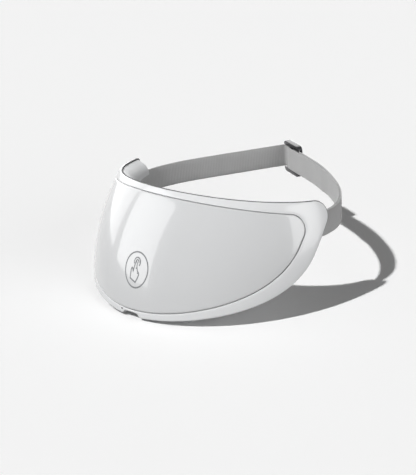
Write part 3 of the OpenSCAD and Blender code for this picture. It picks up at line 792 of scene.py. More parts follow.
class Workshop:
    """Keeps the loaded frame and the finishes, and fits each piece to its body."""

    def __init__(self, frame: dict) -> None:
        """Starts with the frame's nodes and no materials."""
        self.nodes: dict[str, bpy.types.Object] = frame["nodes"]
        self.materials: dict[str, bpy.types.Material] = {}

    def paint(self, piece: bpy.types.Object, finish: Finish) -> None:
        """Gives a piece its finish, which is made when it is first used."""
        if finish.name not in self.materials:
            self.materials[finish.name] = finish.build()
        piece.data.materials.clear()
        piece.data.materials.append(self.materials[finish.name])

    def fit(
        self,
        piece: bpy.types.Object,
        finish: Finish,
        stands_for: Sequence[str] = (),
        body: Body = Body.DEVICE,
    ) -> None:
        """Paints a new piece and puts it on its body.

        Args:
            piece: The new piece.
            finish: Its finish.
            stands_for: CAD nodes that it replaces.
            body: Body that it rides on.
        """
        self.paint(piece, finish)
        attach(piece, body.value)
        if stands_for:
            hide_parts(*stands_for)
        LOG.info("piece %s: %d faces", piece.name, len(piece.data.polygons))

    def soften(
        self,
        node: str,
        name: str,
        bevel: float,
        finish: Finish,
        body: Body = Body.DEVICE,
    ) -> bpy.types.Object:
        """Rounds a CAD node's edges in a new piece that stands for it.

        Args:
            node: Name of the CAD node.
            name: Name of the piece.
            bevel: Rounding of its edges.
            finish: Its finish.
            body: Body that it rides on.
        """
        piece = softened(self.nodes[node], name, bevel)
        self.fit(piece, finish, [node], body)
        return piece


# Sub-assemblies


@dataclass
class Shell:
    """Front cover, panel, rim seal and inner cover."""

    cover_t: float = 2.6
    rim_r: float = 0.75
    rim_d: float = 0.95
    rim_break: float = 0.12
    rim_steps: int = 6
    step_in: float = 1.5
    bead_t: float = 0.55
    bead_proud: float = 0.65
    bead_break: float = 0.12
    bead_play: float = 0.02
    roll_rise: float = 1.3
    roll_reach: float = 52.0
    roll_fade: float = 38.0
    roll_skew: float = 0.7
    lip_in: float = 2.2
    lip_t: float = 1.2
    lip_h: float = 2.2
    seal_t: float = 0.6
    web_in: float = 0.95
    body_d: float = 13.5
    tray_t: float = 1.5
    tray_run: float = 7.5
    tray_flat: float = 1.3
    nose_r: float = 0.45
    nose_in: float = 0.08
    nose_wall: float = 0.85
    panel_t: float = 1.6
    panel_proud: float = 0.35
    panel_edge_r: float = 0.8
    panel_in: float = 0.2
    panel_gap: float = 0.15
    panel_play: float = 0.1
    seat_break: float = 0.3
    edge_break: float = 0.4

    @property
    def tray_top(self) -> float:
        """Returns the depth at which the inner cover's wall starts."""
        return self.cover_t + self.seal_t

    @property
    def nose(self) -> float:
        """Returns the depth of the inner cover's nose, under the bead."""
        return self.rim_d + self.bead_t

    def front_cover(self) -> bpy.types.Object:
        """Moulds the front cover with its panel seat, round rim and locating lip."""
        seat = self.panel_t - self.panel_proud
        layers = Layers()
        gap = PANEL_LINE.ring(-self.panel_gap)
        mouth = PANEL_LINE.ring(-self.panel_gap - self.seat_break)
        layers.face(PANEL_LINE, -self.panel_gap, seat, 9, True)
        layers.add(gap, seat)
        for sine, cosine in quarter(2):
            layers.add(mixed(gap, mouth, 1 - cosine), self.seat_break * (1 - sine))
        border = body_ring(self.rim_r, 0.3)
        for share in (0.2, 0.4, 0.6, 0.8):
            layers.add(mixed(mouth, border, share), 0.0)
        for sine, cosine in quarter(self.rim_steps):
            inset = self.rim_r * (1 - sine)
            layers.add(body_ring(inset, inset * 0.25), self.rim_r * (1 - cosine))
        layers.add(body_ring(0.0), self.rim_d - self.rim_break)
        layers.add(body_ring(self.rim_break, 0.1), self.rim_d)
        step = body_ring(self.step_in, 0.8)
        lip = body_ring(self.lip_in, 1.0)
        inner = body_ring(self.lip_in + self.lip_t, 2.0)
        low = self.cover_t + self.lip_h
        for ring, depth in ((step, self.rim_d), (step, self.cover_t), (lip, self.cover_t), (lip, low)):
            layers.add(ring, depth)
        layers.add(inner, low)
        layers.add(inner, self.cover_t)
        layers.face(BODY_LINE, self.lip_in + self.lip_t, self.cover_t, 9, False)
        return make_object(layers.build("front cover"), "front_cover_moulding")

    def panel(self) -> bpy.types.Object:
        """Moulds the glossy panel, a little proud, with a round edge."""
        layers = Layers()
        layers.face(PANEL_LINE, self.panel_in + self.panel_edge_r, -self.panel_proud, 24, True)
        for sine, cosine in quarter(7):
            ring = PANEL_LINE.ring(self.panel_in + self.panel_edge_r * (1 - sine))
            layers.add(ring, self.panel_edge_r * (1 - cosine) - self.panel_proud)
        back = self.panel_t - self.panel_proud - self.panel_play
        layers.add(PANEL_LINE.ring(self.panel_in), back)
        layers.face(PANEL_LINE, self.panel_in, back, 9, False)
        return make_object(layers.build("panel"), "panel_moulding")

    def seal(self) -> bpy.types.Object:
        """Moulds the rim seal: a bead, proud along the top edge, on a web between the covers."""
        play, edge = self.bead_play, self.bead_play + self.bead_break
        low = self.nose
        crown = BODY_LINE.raised(body_ring(play, 0.03), self.bead_proud)
        shoulder = BODY_LINE.raised(body_ring(edge, 0.14), self.bead_proud)
        root = body_ring(self.step_in - 0.05, 0.75)
        web = body_ring(self.web_in, 0.4)
        foot = body_ring(self.lip_in - 0.1, 0.9)
        layers = Layers()
        layers.add(root, self.rim_d + play)
        layers.add(shoulder, self.rim_d + play)
        layers.add(crown, self.rim_d + edge)
        layers.add(crown, low - edge)
        layers.add(shoulder, low - play)
        layers.add(web, low - play)
        layers.add(web, self.tray_top - play)
        layers.add(foot, self.tray_top - play)
        layers.add(foot, self.cover_t + play)
        layers.add(root, self.cover_t + play)
        return make_object(layers.build("seal", hubs=False), "rim_seal_moulding")

    def rolled(self, ring: Sequence[Vector], depth: float) -> list[Vector]:
        """Returns a ring of the inner cover, rolled outward along the middle of the top edge."""
        share = held((depth - self.nose) / (self.body_d - self.nose))
        swell = math.sin(math.pi * share**self.roll_skew) if share < 1 else 0.0
        return BODY_LINE.raised(ring, self.roll_rise * swell, self.roll_reach, self.roll_fade)

    def inner_cover(self) -> bpy.types.Object:
        """Moulds the inner cover: an upright foot, then a quarter round into the neck side."""
        layers = Layers()
        cavity = self.body_d - self.tray_t
        inner = self.edge_break + self.tray_t
        foot = self.tray_top + self.tray_flat
        layers.face(BODY_LINE, inner + self.tray_run, cavity, 10, True)
        for sine, cosine in reversed(quarter(12)):
            ring = body_ring(inner + self.tray_run * (1 - cosine), self.tray_t)
            layers.add(ring, foot + (cavity - foot) * sine)
        layers.add(body_ring(inner, self.tray_t), self.tray_top)
        wall = body_ring(self.nose_wall, 0.3)
        layers.add(wall, self.tray_top)
        layers.add(wall, self.nose + 0.05)
        for sine, cosine in quarter(3):
            ring = body_ring(self.nose_in + self.nose_r * (1 - sine), 0.2 * (1 - sine))
            layers.add(self.rolled(ring, self.nose), self.nose + self.nose_r * (1 - cosine))
        for share in (0.35, 0.7):
            depth = lerp(self.nose + self.nose_r, foot, share)
            layers.add(self.rolled(body_ring(lerp(self.nose_in, self.edge_break, share)), depth), depth)
        for sine, cosine in quarter(16):
            depth = foot + (self.body_d - foot) * sine
            ring = body_ring(self.edge_break + self.tray_run * (1 - cosine))
            layers.add(self.rolled(ring, depth), depth)
        layers.face(BODY_LINE, self.edge_break + self.tray_run, self.body_d, 22, False)
        piece = make_object(layers.build("inner cover"), "inner_cover_moulding")
        return carved(piece, [*(PINS.slot_cutter(side) for side in Side), SOCKET.opening()])

    def build(self, shop: Workshop) -> None:
        """Builds and fits the four mouldings."""
        shop.fit(self.front_cover(), GLOSS_ABS, ["front_cover"])
        shop.fit(self.panel(), LACQUERED_PANEL, ["front_panel"])
        # The seal's dark colour is painted shade of the seam gap between the covers, not the rubber's own
        # colour.
        shop.fit(self.seal(), SEAM_SHADE_SEAL, ["rim_seal"])
        shop.fit(self.inner_cover(), SATIN_PC, ["inner_cover"])


@dataclass
class Pins:
    """The two pins that carry the band, and the slots that it leaves by."""

    s: float = 92.0
    w: float = 37.5
    depth: float = 7.8
    radius: float = 1.2
    slot_half: float = 8.7
    slot_in: float = 9.0
    slot_out: float = 1.5
    slot_from: float = 1.0
    slot_length: float = 24.0
    slot_bevel: float = 1.4

    @property
    def at(self) -> Vector:
        """Returns the middle of the right pin."""
        return BARREL.skin(self.s, self.w, self.depth)

    @property
    def out(self) -> Vector:
        """Returns the direction out of the shell at the right pin."""
        return BARREL.outward(self.s, self.w)

    @property
    def up(self) -> Vector:
        """Returns the direction of the right pin's length."""
        out = self.out
        return (Vector((0, 0, 1)) - out * out.z).normalized()

    @property
    def back(self) -> Vector:
        """Returns the direction back along the shell at the right pin."""
        return self.up.cross(self.out)

    def frame(self, side: Side) -> Matrix:
        """Returns a pin's frame: X outward, Y back along the shell, Z along the pin."""
        right = frame_of(self.out, self.back, self.up, self.at)
        return right if side is Side.RIGHT else Matrix.Scale(-1, 4, (1, 0, 0)) @ right

    def slot_cutter(self, side: Side) -> bpy.types.Object:
        """Returns the rounded box that opens the inner cover for the band."""
        reach = self.slot_in + self.radius + self.slot_out
        middle = Vector((reach / 2 - self.slot_in, self.slot_from + self.slot_length / 2, 0))
        place = self.frame(side) @ Matrix.Translation(middle)
        size = Vector((reach, self.slot_length, 2 * self.slot_half))
        return rounded_box(size, self.slot_bevel, place, "slot_cutter")


PINS = Pins()


@dataclass
class Socket:
    """The charging socket in the notch."""

    width: float = 8.94
    height: float = 3.26
    board_w: float = -22.0
    board_d: float = 6.3
    clearance: float = 0.2
    cut_length: float = 12.0
    contacts: int = 12
    contact_pitch: float = 0.5
    contact_size: Place = (0.25, 0.04, 3.6)
    contact_face: float = 0.36
    contact_middle: float = 3.2

    def frame(self) -> Matrix:
        """Returns the socket's frame: Z runs from its mouth into the shell."""
        mouth = BODY_LINE.bottom(0.0) + NOTCH.height
        return (
            BARREL.seat(0.0, self.board_w, self.board_d + self.height / 2)
            @ Matrix.Translation((0, mouth - self.board_w, 0))
            @ Matrix.Rotation(-math.pi / 2, 4, "X")
        )

    def opening(self) -> bpy.types.Object:
        """Returns the round-ended solid that opens the inner cover for the socket."""
        grow = 2 * self.clearance
        bm = bmesh.new()
        bmesh.ops.create_cube(bm, size=1.0)
        size = (self.width + grow, self.height + grow, self.cut_length)
        bmesh.ops.scale(bm, vec=size, verts=bm.verts)
        ends = [e for e in bm.edges if abs((e.verts[0].co - e.verts[1].co).normalized().z) > 0.9]
        round_edges(bm, ends, self.height / 2 + self.clearance - 0.01, 10)
        bmesh.ops.transform(bm, matrix=self.frame(), verts=bm.verts)
        return make_object(bm, "socket_cutter")

    def build(self, shop: Workshop) -> None:
        """Rounds the socket's shell and tongue, and adds its contacts."""
        shop.soften("usb_shell", "socket_shell", 0.08, STEEL)
        shop.soften("usb_tongue", "socket_tongue", 0.12, EPOXY)
        for row, face in (("front", self.contact_face), ("back", -self.contact_face)):
            bm = bmesh.new()
            for i in range(self.contacts):
                made = bmesh.ops.create_cube(bm, size=1.0)["verts"]
                bmesh.ops.scale(bm, vec=self.contact_size, verts=made)
                across = (i - (self.contacts - 1) / 2) * self.contact_pitch
                bmesh.ops.translate(bm, vec=(across, face, self.contact_middle), verts=made)
            bmesh.ops.transform(bm, matrix=self.frame(), verts=bm.verts)
            shop.fit(make_object(bm, f"socket_contacts_{row}"), COPPER)


SOCKET = Socket()


@dataclass
class TouchKey:
    """The printed touch symbol and the status light."""

    s: float = 2.6
    w: float = -17.2
    ring_r: float = 10.0
    ring_line: float = 0.85
    hand_line: float = 0.78
    height: float = 0.4
    tip: tuple[float, float] = (0.1, 4.25)
    light_s: float = -9.9
    light_w: float = -40.3
    light_r: float = 0.7
    light_deep: float = -2.5

    @staticmethod
    def stroke(bm: bmesh.types.BMesh, path: Sequence[Vector], width: float, closed: bool) -> None:
        """Draws a printed line by extruding one edge along a path.

        Args:
            bm: Flat mesh of the print.
            path: Points of the line.
            width: Its width.
            closed: True if it ends where it starts.
        """
        sharpest = 0.45
        count = len(path)
        pair: list[bmesh.types.BMVert] = []
        first: list[bmesh.types.BMVert] = []
        for i, p in enumerate(path):
            before = path[(i - 1) % count] if closed or i > 0 else p
            after = path[(i + 1) % count] if closed or i < count - 1 else p
            run_in = (p - before if before is not p else after - p).normalized()
            run_out = (after - p if after is not p else p - before).normalized()
            run = (run_in + run_out).normalized()
            side = Vector((-run.y, run.x, 0.0))
            reach = width / 2 / max(side.dot(Vector((-run_in.y, run_in.x, 0.0))), sharpest)
            places = (p + side * reach, p - side * reach)
            if not pair:
                first = pair = [bm.verts.new(q) for q in places]
                bm.edges.new(pair)
                continue
            edge = next(e for e in pair[0].link_edges if e.other_vert(pair[0]) is pair[1])
            pair = extruded(bm, [edge], pair)
            RingSkin.put(pair, places)
        if closed:
            bmesh.ops.contextual_create(bm, geom=[pair[0], pair[1], first[1], first[0]])

    @staticmethod
    def divided(path: Sequence[Vector], longest: float = 0.7) -> list[Vector]:
        """Returns a closed path with its long runs divided, so that it can follow the panel."""
        out: list[Vector] = []
        for p, q in zip(path, [*path[1:], path[0]]):
            count = max(1, math.ceil((q - p).length / longest))
            out += [p.lerp(q, i / count) for i in range(count)]
        return out

    @staticmethod
    def arc(middle: Sequence[float], r: float, start: float, end: float, steps: int) -> list[Vector]:
        """Returns points on an arc, with its angles in degrees."""
        turns = (math.radians(lerp(start, end, i / steps)) for i in range(steps + 1))
        return [Vector((middle[0] + r * math.cos(a), middle[1] + r * math.sin(a), 0)) for a in turns]

    def symbol(self) -> bpy.types.Object:
        """Prints a ring round a plain pointing hand with two touch arcs."""
        bm = bmesh.new()
        self.stroke(bm, self.arc((0, 0), self.ring_r, 0, 360, 96)[:-1], self.ring_line, True)
        corners = [
            (-4.4, -5.4), (0.7, -7.05), (2.0, -4.8), (3.0, -2.4), (2.5, -1.5), (1.2, -0.45),
            (0.4, 1.4), (0.25, 3.4), (-0.1, 4.15), (-0.6, 4.35), (-1.1, 4.1), (-1.4, 3.4),
            (-2.45, -1.35), (-3.1, 0.3), (-3.6, 0.6), (-4.1, 0.3), (-4.4, -0.75),
        ]  # fmt: skip
        self.stroke(bm, self.divided([Vector((x, y, 0)) for x, y in corners]), self.hand_line, True)
        ticks = (((0.5, 1.1), (-0.4, 0.5)), ((2.3, -1.6), (1.3, -1.9)))
        lines = [[Vector((x, y, 0)) for x, y in tick] for tick in ticks]
        lines += [self.arc(self.tip, 1.3, 175, -10, 14), self.arc(self.tip, 2.65, 207, -42, 26)]
        for line in lines:
            self.stroke(bm, line, self.hand_line, False)
        bmesh.ops.translate(bm, vec=(self.s, self.w, self.height), verts=bm.verts)
        bmesh.ops.recalc_face_normals(bm, faces=bm.faces)
        BARREL.roll(bm)
        out = BARREL.outward(self.s, self.w)
        bmesh.ops.reverse_faces(bm, faces=[f for f in bm.faces if f.normal.dot(out) < 0])
        return make_object(bm, "touch_symbol_print")

    def light(self) -> bpy.types.Object:
        """Turns the smoked lens of the status light, slightly domed."""
        bm = bmesh.new()
        profile = [(0.0, 0.12), (0.35, 0.09), (0.6, 0.02), (self.light_r, -0.08)]
        profile += [(self.light_r, self.light_deep), (0.0, self.light_deep)]
        verts = [bm.verts.new((x, 0, z)) for x, z in profile]
        edges = [bm.edges.new(pair) for pair in zip(verts, verts[1:])]
        turn = {"cent": (0, 0, 0), "axis": (0, 0, 1), "angle": 2 * math.pi, "steps": 32}
        bmesh.ops.spin(bm, geom=verts + edges, use_merge=True, **turn)
        bmesh.ops.remove_doubles(bm, verts=bm.verts, dist=1e-4)
        bmesh.ops.recalc_face_normals(bm, faces=bm.faces)
        bmesh.ops.transform(bm, matrix=BARREL.seat(self.light_s, self.light_w, 0.0), verts=bm.verts)
        return make_object(bm, "status_lens")

    def build(self, shop: Workshop) -> None:
        """Builds and fits the print and the lens."""
        shop.fit(self.symbol(), PRINT_INK)
        shop.fit(self.light(), SMOKED_PMMA, ["status_light"])


class Layer(Enum):
    """The three layers of webbing."""

    OUTER = "strap"
    TAB = "strap_tab"
    RETURN = "strap_return"


def mirrored(p: Vector) -> Vector:
    """Returns a place or a direction, on the other side of the object."""
    return Vector((-p.x, p.y, p.z))


@dataclass
class Strap:
    """The elastic band: one length from the left pin to the right pin and back to the adjuster."""

    width: float = 15.0
    thick: float = 0.9
    pin_play: float = 0.1
    loop_steps: int = 20
    ease: float = 26.0
    ease_from: float = 2.5
    left_out: tuple[float, float] = (-63.5, 33.0)
    fold_in: tuple[float, float] = (-37.0, 89.1)
    fold_out: tuple[float, float] = (-32.5, 89.6)
    straight_end: tuple[float, float] = (9.5, 70.5)
    back_mid: tuple[float, float] = (50.0, 42.5)
    side_in: tuple[float, float] = (64.5, 27.0)
    fold_keep: float = 7.0
    eased: int = 40
    adj_from_fold: float = -4.0
    adj_length: float = 22.0
    tab_length: float = 15.0
    tab_touch: float = 0.05
    loop_end: float = 0.15
    return_near: float = 1.05
    return_far: float = 2.1
    stitch_back: int = 3
    stitch_count: int = 9
    stitch_pitch: float = 1.45
    stitch_proud: float = 0.02
    stitch_size: Place = (0.34, 0.26, 1.15)

    @property
    def loop_r(self) -> float:
        """Returns the radius of the band's middle round a pin."""
        return PINS.radius + self.pin_play + self.thick / 2

    @property
    def run(self) -> Vector:
        """Returns the direction of the straight run, away from the fold."""
        return (Vector(self.straight_end) - Vector(self.fold_out)).normalized()

    @staticmethod
    def arc(p: Vector, q: Vector, bulge: float, steps: int) -> list[Vector]:
        """Returns points on an arc in plan, without its first point."""
        v = q - p
        chord = v.length
        side = Vector((-v.y, v.x)) / chord
        b = max(abs(bulge), 0.001)
        r = (chord * chord / 4 + b * b) / (2 * b)
        half = math.asin(min(chord / 2 / r, 1.0))
        return [
            (p + q) / 2 + v / chord * r * math.sin(a) + side * (r * math.cos(a) - (r - b))
            for a in (lerp(-half, half, i / steps) for i in range(1, steps + 1))
        ]

    def loop(self) -> list[Vector]:
        """Returns the half turn round the right pin, from its inner to its outer side."""
        turns = (math.pi * (1 - i / self.loop_steps) for i in range(self.loop_steps + 1))
        return [PINS.at + self.loop_r * (math.cos(a) * PINS.out - math.sin(a) * PINS.back) for a in turns]

    def route(self) -> list[Vector]:
        """Returns the outer layer's middle line, between the two pins."""
        end = self.loop()[-1]
        plan: list[Vector] = []
        stops = (self.left_out, self.fold_in, self.fold_out, self.straight_end, self.back_mid, self.side_in)
        knots = [Vector((-end.x, end.y)), *(Vector(p) for p in stops), Vector((end.x, end.y))]
        shape = [(4.8, 26), (0.0, 30), (1.4, 12), (0.0, 30), (1.2, 26), (0.9, 12), (8.6, 34)]
        for (bulge, steps), p, q in zip(shape, knots, knots[1:]):
            plan += self.arc(p, q, bulge, steps)
        fold = Vector(self.fold_in)
        ends = {*range(3), *range(len(plan) - 3, len(plan))}
        for _ in range(self.eased):
            kept = [i in ends or (p - fold).length < self.fold_keep for i, p in enumerate(plan)]
            plan = [
                p if keep else p * 0.5 + (plan[i - 1] + plan[i + 1]) * 0.25
                for i, (p, keep) in enumerate(zip(plan, kept))
            ]
        level = PINS.at.z
        line = []
        for p in plan:
            away = self.from_pin(Vector((p.x, p.y, level)))
            line.append(Vector((p.x, p.y, level + (end.z - level) * max(0.0, 1 - away / self.ease))))
        return line

    def from_pin(self, p: Vector) -> float:
        """Returns the distance from the nearer pin."""
        return min((p - PINS.at).length, (mirrored(p) - PINS.at).length)

    def up(self, p: Vector) -> Vector:
        """Returns the direction across the band, which leans with the pins near them."""
        share = held((self.from_pin(p) - self.ease_from) / (self.ease - self.ease_from))
        lean = mirrored(PINS.up) if p.x < 0 else PINS.up
        return (lean * (1 - share) + Vector((0, 0, 1)) * share).normalized()

    def facing(self, line: Sequence[Vector], i: int) -> Vector:
        """Returns the direction out of the band's outer face."""
        run = (line[min(i + 1, len(line) - 1)] - line[max(i - 1, 0)]).normalized()
        return self.up(line[i]).cross(run).normalized()

    @staticmethod
    def table(value: float, stops: Sequence[tuple[float, float]]) -> float:
        """Returns the value of a table at a place, linear between its stops."""
        if value <= stops[0][0]:
            return stops[0][1]
        for (x0, y0), (x1, y1) in zip(stops, stops[1:]):
            if value <= x1:
                return lerp(y0, y1, (value - x0) / (x1 - x0))
        return stops[-1][1]

    def to_adjuster(self, x: float, y: float) -> Vector:
        """Returns a place given along the straight run and away from the neck."""
        run = self.run
        mid = Vector(self.fold_out) + run * (self.adj_from_fold + self.adj_length / 2)
        return Vector((mid.x + x * run.x - y * run.y, mid.y + x * run.y + y * run.x, PINS.at.z))

    def line(self, layer: Layer) -> list[Vector]:
        """Returns the middle line of a layer, from its left end to its right end."""
        route = self.route()
        loop = self.loop()
        left = [mirrored(p) for p in loop]
        if layer is Layer.OUTER:
            return left + route + loop[-2::-1]
        near = (0.0, 2 * self.loop_r)
        if layer is Layer.TAB:
            stops = [near, (self.tab_length, self.thick + self.tab_touch)]
            points = [left[0] + mirrored(PINS.back) * self.loop_end]
            for i, p in enumerate(route[:40]):
                away = (mirrored(p) - PINS.at).length
                if 1.5 < away < self.tab_length:
                    points.append(p - self.table(away, stops) * self.facing(route, i))
            return points
        stops = [near, (15.0, self.return_near), (90.0, self.return_near), (100.0, self.return_far)]
        points = [self.to_adjuster(x, y) for x, y in ((-3.5, -1.2), (-3.3, -1.8), (-2.55, -2.1))]
        start = next(i for i, p in enumerate(route) if p.x > self.to_adjuster(-1.6, 0).x)
        for i in range(start, len(route) - 4):
            away = (route[i] - PINS.at).length
            points.append(route[i] - self.table(away, stops) * self.facing(route, i))
        points.append(loop[0] + PINS.back * self.loop_end)
        return points

    def section(self) -> list[tuple[float, float]]:
        """Returns the band's section: flat faces between two rounded selvedges."""
        half, t = self.width / 2, self.thick / 2
        out = []
        for side in (1, -1):
            for i in range(7):
                a = math.pi / 2 - math.pi * i / 6
                out.append((side * (half - t + t * math.cos(a)), side * t * math.sin(a)))
            for share in (0.75, 0.5, 0.25):
                out.append((side * lerp(-half + t, half - t, share), -side * t))
        return out

    def sweep(self, layer: Layer) -> bpy.types.Object:
        """Sweeps the section along a layer, with the UV map of the weave."""
        line = self.line(layer)
        section = self.section()
        travel = 0.0
        skin: RingSkin | None = None
        marks: dict[bmesh.types.BMVert, tuple[float, float]] = {}
        for i, p in enumerate(line):
            if i:
                travel += (p - line[i - 1]).length
            up, out = self.up(p), self.facing(line, i)
            places = [p + up * y + out * x for y, x in section]
            if skin is None:
                skin = RingSkin(places)
            else:
                skin.add(places)
            marks.update({v: (travel, y) for v, (y, _) in zip(skin.ring, section)})
        assert skin is not None
        bm = skin.bm
        for ring in (skin.first, skin.ring):
            bmesh.ops.contextual_create(bm, geom=list(ring))
        bmesh.ops.recalc_face_normals(bm, faces=bm.faces)
        uv = bm.loops.layers.uv.new("band")
        for face in bm.faces:
            for corner in face.loops:
                corner[uv].uv = marks.get(corner.vert, (0.0, 0.0))
        return make_object(bm, f"webbing_{layer.value}", 50.0)

    def stitches(self) -> bpy.types.Object:
        """Sews a row of stitches across the tab, near its end."""
        bm = bmesh.new()
        line = self.line(Layer.TAB)
        i = len(line) - self.stitch_back
        up, out = self.up(line[i]), -self.facing(line, i)
        middle = line[i] + out * (self.thick / 2 + self.stitch_proud)
        for k in range(self.stitch_count):
            spot = middle + up * ((k - (self.stitch_count - 1) / 2) * self.stitch_pitch)
            made = bmesh.ops.create_uvsphere(bm, u_segments=8, v_segments=6, radius=0.5)["verts"]
            bmesh.ops.scale(bm, vec=self.stitch_size, verts=made)
            bmesh.ops.transform(bm, matrix=frame_of(up.cross(out), out, up, spot), verts=made)
        return make_object(bm, "tab_stitches", 60.0)

    def build(self, shop: Workshop) -> None:
        """Weaves the three layers and sews the tab."""
        for layer in (Layer.OUTER, Layer.TAB):
            shop.fit(self.sweep(layer), WEBBING, [layer.value])
        piece = self.sweep(Layer.RETURN)
        shop.paint(piece, WEBBING)
        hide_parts(Layer.RETURN.value)
        start = self.to_adjuster(2.0, 0) * MM
        end = Vector((*self.straight_end, PINS.at.z)) * MM
        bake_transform(piece)
        shop.fit(self.stitches(), THREAD)


class Hardware:
    """The adjuster, the pins with their brackets, and the rest pad."""

    def build(self, shop: Workshop) -> None:
        """Rounds the metal parts and the rest pad, and fits them."""
        shop.soften("adjuster", "adjuster_slide_frame", 0.3, BLACK_NICKEL, Body.ADJUSTER)
        for side in Side:
            word = side.name.lower()
            shop.soften(f"strap_bracket_{word}", f"bracket_{word}", 0.12, STEEL)
            shop.soften(f"strap_pin_{word}", f"pin_{word}", 0.15, STEEL)
        shop.soften("rest_pad", "rest_pad_moulding", 0.6, SILICONE)


@dataclass
class Insides:
    """The parts inside the shell, which keep their CAD shape or are rounded."""

    plain: dict[str, Finish] = field(
        default_factory=lambda: {
            "status_led": LED_PACKAGE,
            "touch_electrode": COPPER,
            "touch_spring": COPPER,
            "main_board": SOLDER_MASK,
            "main_chips": EPOXY,
            "board_screws": STEEL,
            "bracket_screws": STEEL,
            "led_carrier": CARRIER_ABS,
        }
    )
    strips: int = 5

    def build(self, shop: Workshop) -> None:
        """Paints the plain nodes, and makes the cells and foam pads again."""
        for node, finish in self.plain.items():
            shop.paint(shop.nodes[node], finish)
        for i in range(1, self.strips + 1):
            shop.paint(shop.nodes[f"led_strip_{i}"], POLYIMIDE)
            shop.paint(shop.nodes[f"leds_{i}"], LED_PACKAGE)
        for side in Side:
            word = side.name.lower()
            shop.soften(f"battery_{word}", f"cell_{word}", 0.9, CELL_FOIL)
            foam = shop.soften(f"battery_pad_{word}", f"foam_{word}", 0.3, FOAM)


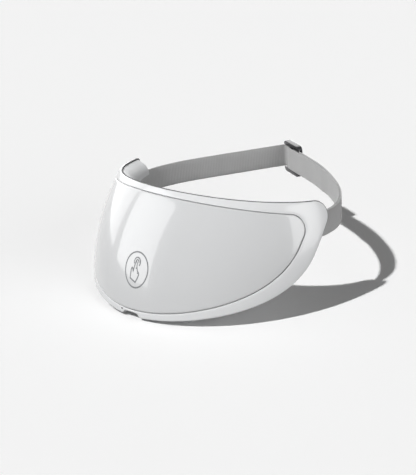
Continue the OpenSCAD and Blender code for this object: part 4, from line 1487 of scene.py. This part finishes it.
@dataclass
class Studio:
    """Camera, floor and soft light."""

    eye: Place = (0.652326, -0.676743, 0.358217)
    right: Place = (0.71923412, 0.69277727, -0.05255404)
    upward: Place = (-0.19654057, 0.2754317, 0.94101498)
    back: Place = (0.66638884, -0.66648108, 0.33425872)
    lens: float = 120.0
    ground: str = "F5F5F5"
    paper: str = "FFFFFF"
    bounce: str = "B4B4B4"
    floor_half: float = 6.0
    fade_from: float = 0.35
    fade_to: float = 0.75
    middle: Place = (0.0, -0.051, 0.04)
    box_range: float = 3.0

    def camera(self) -> None:
        """Sets the camera at the photograph's viewing angle."""
        data = bpy.data.cameras.new("portrait")
        data.lens = self.lens
        data.sensor_width = 36.0
        data.clip_start = 0.05
        data.clip_end = 20.0
        cam = bpy.data.objects.new("portrait", data)
        axes = (self.right, self.upward, self.back, self.eye)
        cam.matrix_world = frame_of(*(Vector(axis) for axis in axes))
        bpy.context.scene.collection.objects.link(cam)
        bpy.context.scene.camera = cam

    @staticmethod
    def toward(azimuth: float, elevation: float) -> Vector:
        """Returns the direction of a compass angle from the front and a height angle, in degrees."""
        a, e = math.radians(azimuth), math.radians(elevation)
        return Vector((math.sin(a) * math.cos(e), -math.cos(a) * math.cos(e), math.sin(e)))

    @staticmethod
    def hang(data: bpy.types.Light, toward: Vector) -> bpy.types.Object:
        """Hangs a lamp that shines back from a direction."""
        lamp = bpy.data.objects.new(data.name, data)
        lamp.rotation_mode = "QUATERNION"
        lamp.rotation_quaternion = (-toward).to_track_quat("-Z", "Y")
        bpy.context.scene.collection.objects.link(lamp)
        return lamp

    def softbox(
        self, name: str, middle: tuple[float, float], span: tuple[float, float], radiance: float
    ) -> None:
        """Hangs a large softbox round the object, seen in its gloss only.

        Args:
            name: Its name.
            middle: Compass and height angle of its middle, seen from the object.
            span: Its width and height as angles.
            radiance: How bright its face is.
        """
        data = bpy.data.lights.new(name, "AREA")
        data.shape = "RECTANGLE"
        data.size, data.size_y = (2 * self.box_range * math.tan(math.radians(a) / 2) for a in span)
        data.energy = radiance * math.pi * data.size * data.size_y
        toward = self.toward(*middle)
        lamp = self.hang(data, toward)
        lamp.location = Vector(self.middle) + toward * self.box_range
        lamp.visible_diffuse = False
        lamp.visible_camera = False

    def distant(self, name: str, toward: Vector, level: float, spread: float) -> None:
        """Hangs a distant lamp, which lights the floor evenly and isn't seen in the gloss.

        Args:
            name: Its name.
            toward: Direction of the lamp.
            level: Its share of a plain level on the floor.
            spread: Its apparent diameter, in degrees.
        """
        data = bpy.data.lights.new(name, "SUN")
        data.angle = math.radians(spread)
        data.energy = level * math.pi / toward.normalized().z
        self.hang(data, toward).visible_glossy = False

    def floor(self) -> None:
        """Lays a plain pale floor: paper for the camera and the light, a plain glow for the gloss."""
        bm = bmesh.new()
        bmesh.ops.create_grid(bm, x_segments=2, y_segments=2, size=self.floor_half / MM)
        ground = make_object(bm, "floor")
        material = bpy.data.materials.new("pale_floor")
        graph = Graph(material)
        path = graph.add("LightPath").outputs
        paper = graph.colours(path["Is Camera Ray"], self.bounce, self.paper)
        diffuse = graph.add("BsdfDiffuse", {"Color": paper, "Roughness": 0.0}).outputs[0]
        glow = graph.add("Emission", {"Color": linear(self.ground), "Strength": 1.0}).outputs[0]
        seen = graph.calc("MAXIMUM", path["Is Glossy Ray"], path["Is Transmission Ray"])
        mix = graph.add("MixShader", {0: seen, 1: diffuse, 2: glow}).outputs[0]
        graph.add("OutputMaterial", {"Surface": mix})
        ground.data.materials.append(material)
        ground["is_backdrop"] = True

    def world(self, horizon: float, zenith: float) -> None:
        """Fills the scene with pale light, and shows a pale backdrop.

        Args:
            horizon: Level of the light near the horizon.
            zenith: Level of the light from above.
        """
        world = bpy.data.worlds.new("studio")
        graph = Graph(world)
        path = graph.add("LightPath").outputs
        seen = graph.calc("MAXIMUM", path["Is Camera Ray"], path["Is Glossy Ray"])
        seen = graph.calc("MAXIMUM", seen, path["Is Transmission Ray"])
        ray = graph.add("SeparateXYZ", {0: graph.add("TexCoord").outputs["Generated"]})
        fade = graph.spread(ray.outputs["Z"], horizon, zenith, self.fade_from, self.fade_to)
        level = graph.spread(seen, fade, 1.0)
        sky = graph.add("Background", {"Color": linear(self.ground), "Strength": level}).outputs[0]
        graph.add("OutputWorld", {"Surface": sky})
        bpy.context.scene.world = world

    def build(self) -> None:
        """Sets the view transform, camera, floor and lamps."""
        bpy.context.scene.view_settings.view_transform = "Standard"
        self.camera()
        self.floor()
        self.world(0.24, 0.05)
        self.distant("key", Vector((-0.1, -0.8, 1.0)), 0.72, 2.0)
        self.distant("fill", self.toward(85.0, 14.0), 0.07, 50.0)
        self.softbox("left_box", (-46.0, 10.0), (40.0, 62.0), 2.3)
        self.softbox("far_left_box", (-122.0, 8.0), (96.0, 60.0), 1.5)
        self.softbox("right_box", (98.0, 20.0), (22.0, 30.0), 2.5)


def note_size(lines: list[list[list[float]]]) -> None:
    """Adds the box of what renders to a list; called twice, it notes the CAD box and then the visual model's
    box.
    """
    low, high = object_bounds()
    lines.append([list(low), list(high)])


def clear_scene() -> None:
    """Empties Blender's start-up scene."""
    for item in list(bpy.data.objects):
        bpy.data.objects.remove(item)


def main() -> None:
    """Builds the sub-assemblies in order and lights them."""
    logging.basicConfig(level=logging.INFO, format="%(name)s %(message)s", force=True)
    clear_scene()
    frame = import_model()
    sizes: list[list[list[float]]] = []
    note_size(sizes)
    Studio().build()
    shop = Workshop(frame)
    for part in (Shell(), TouchKey(), SOCKET, Strap(), Hardware(), Insides()):
        part.build(shop)
        LOG.info("built the %s", type(part).__name__)
    note_size(sizes)


if __name__ == "__main__":
    main()
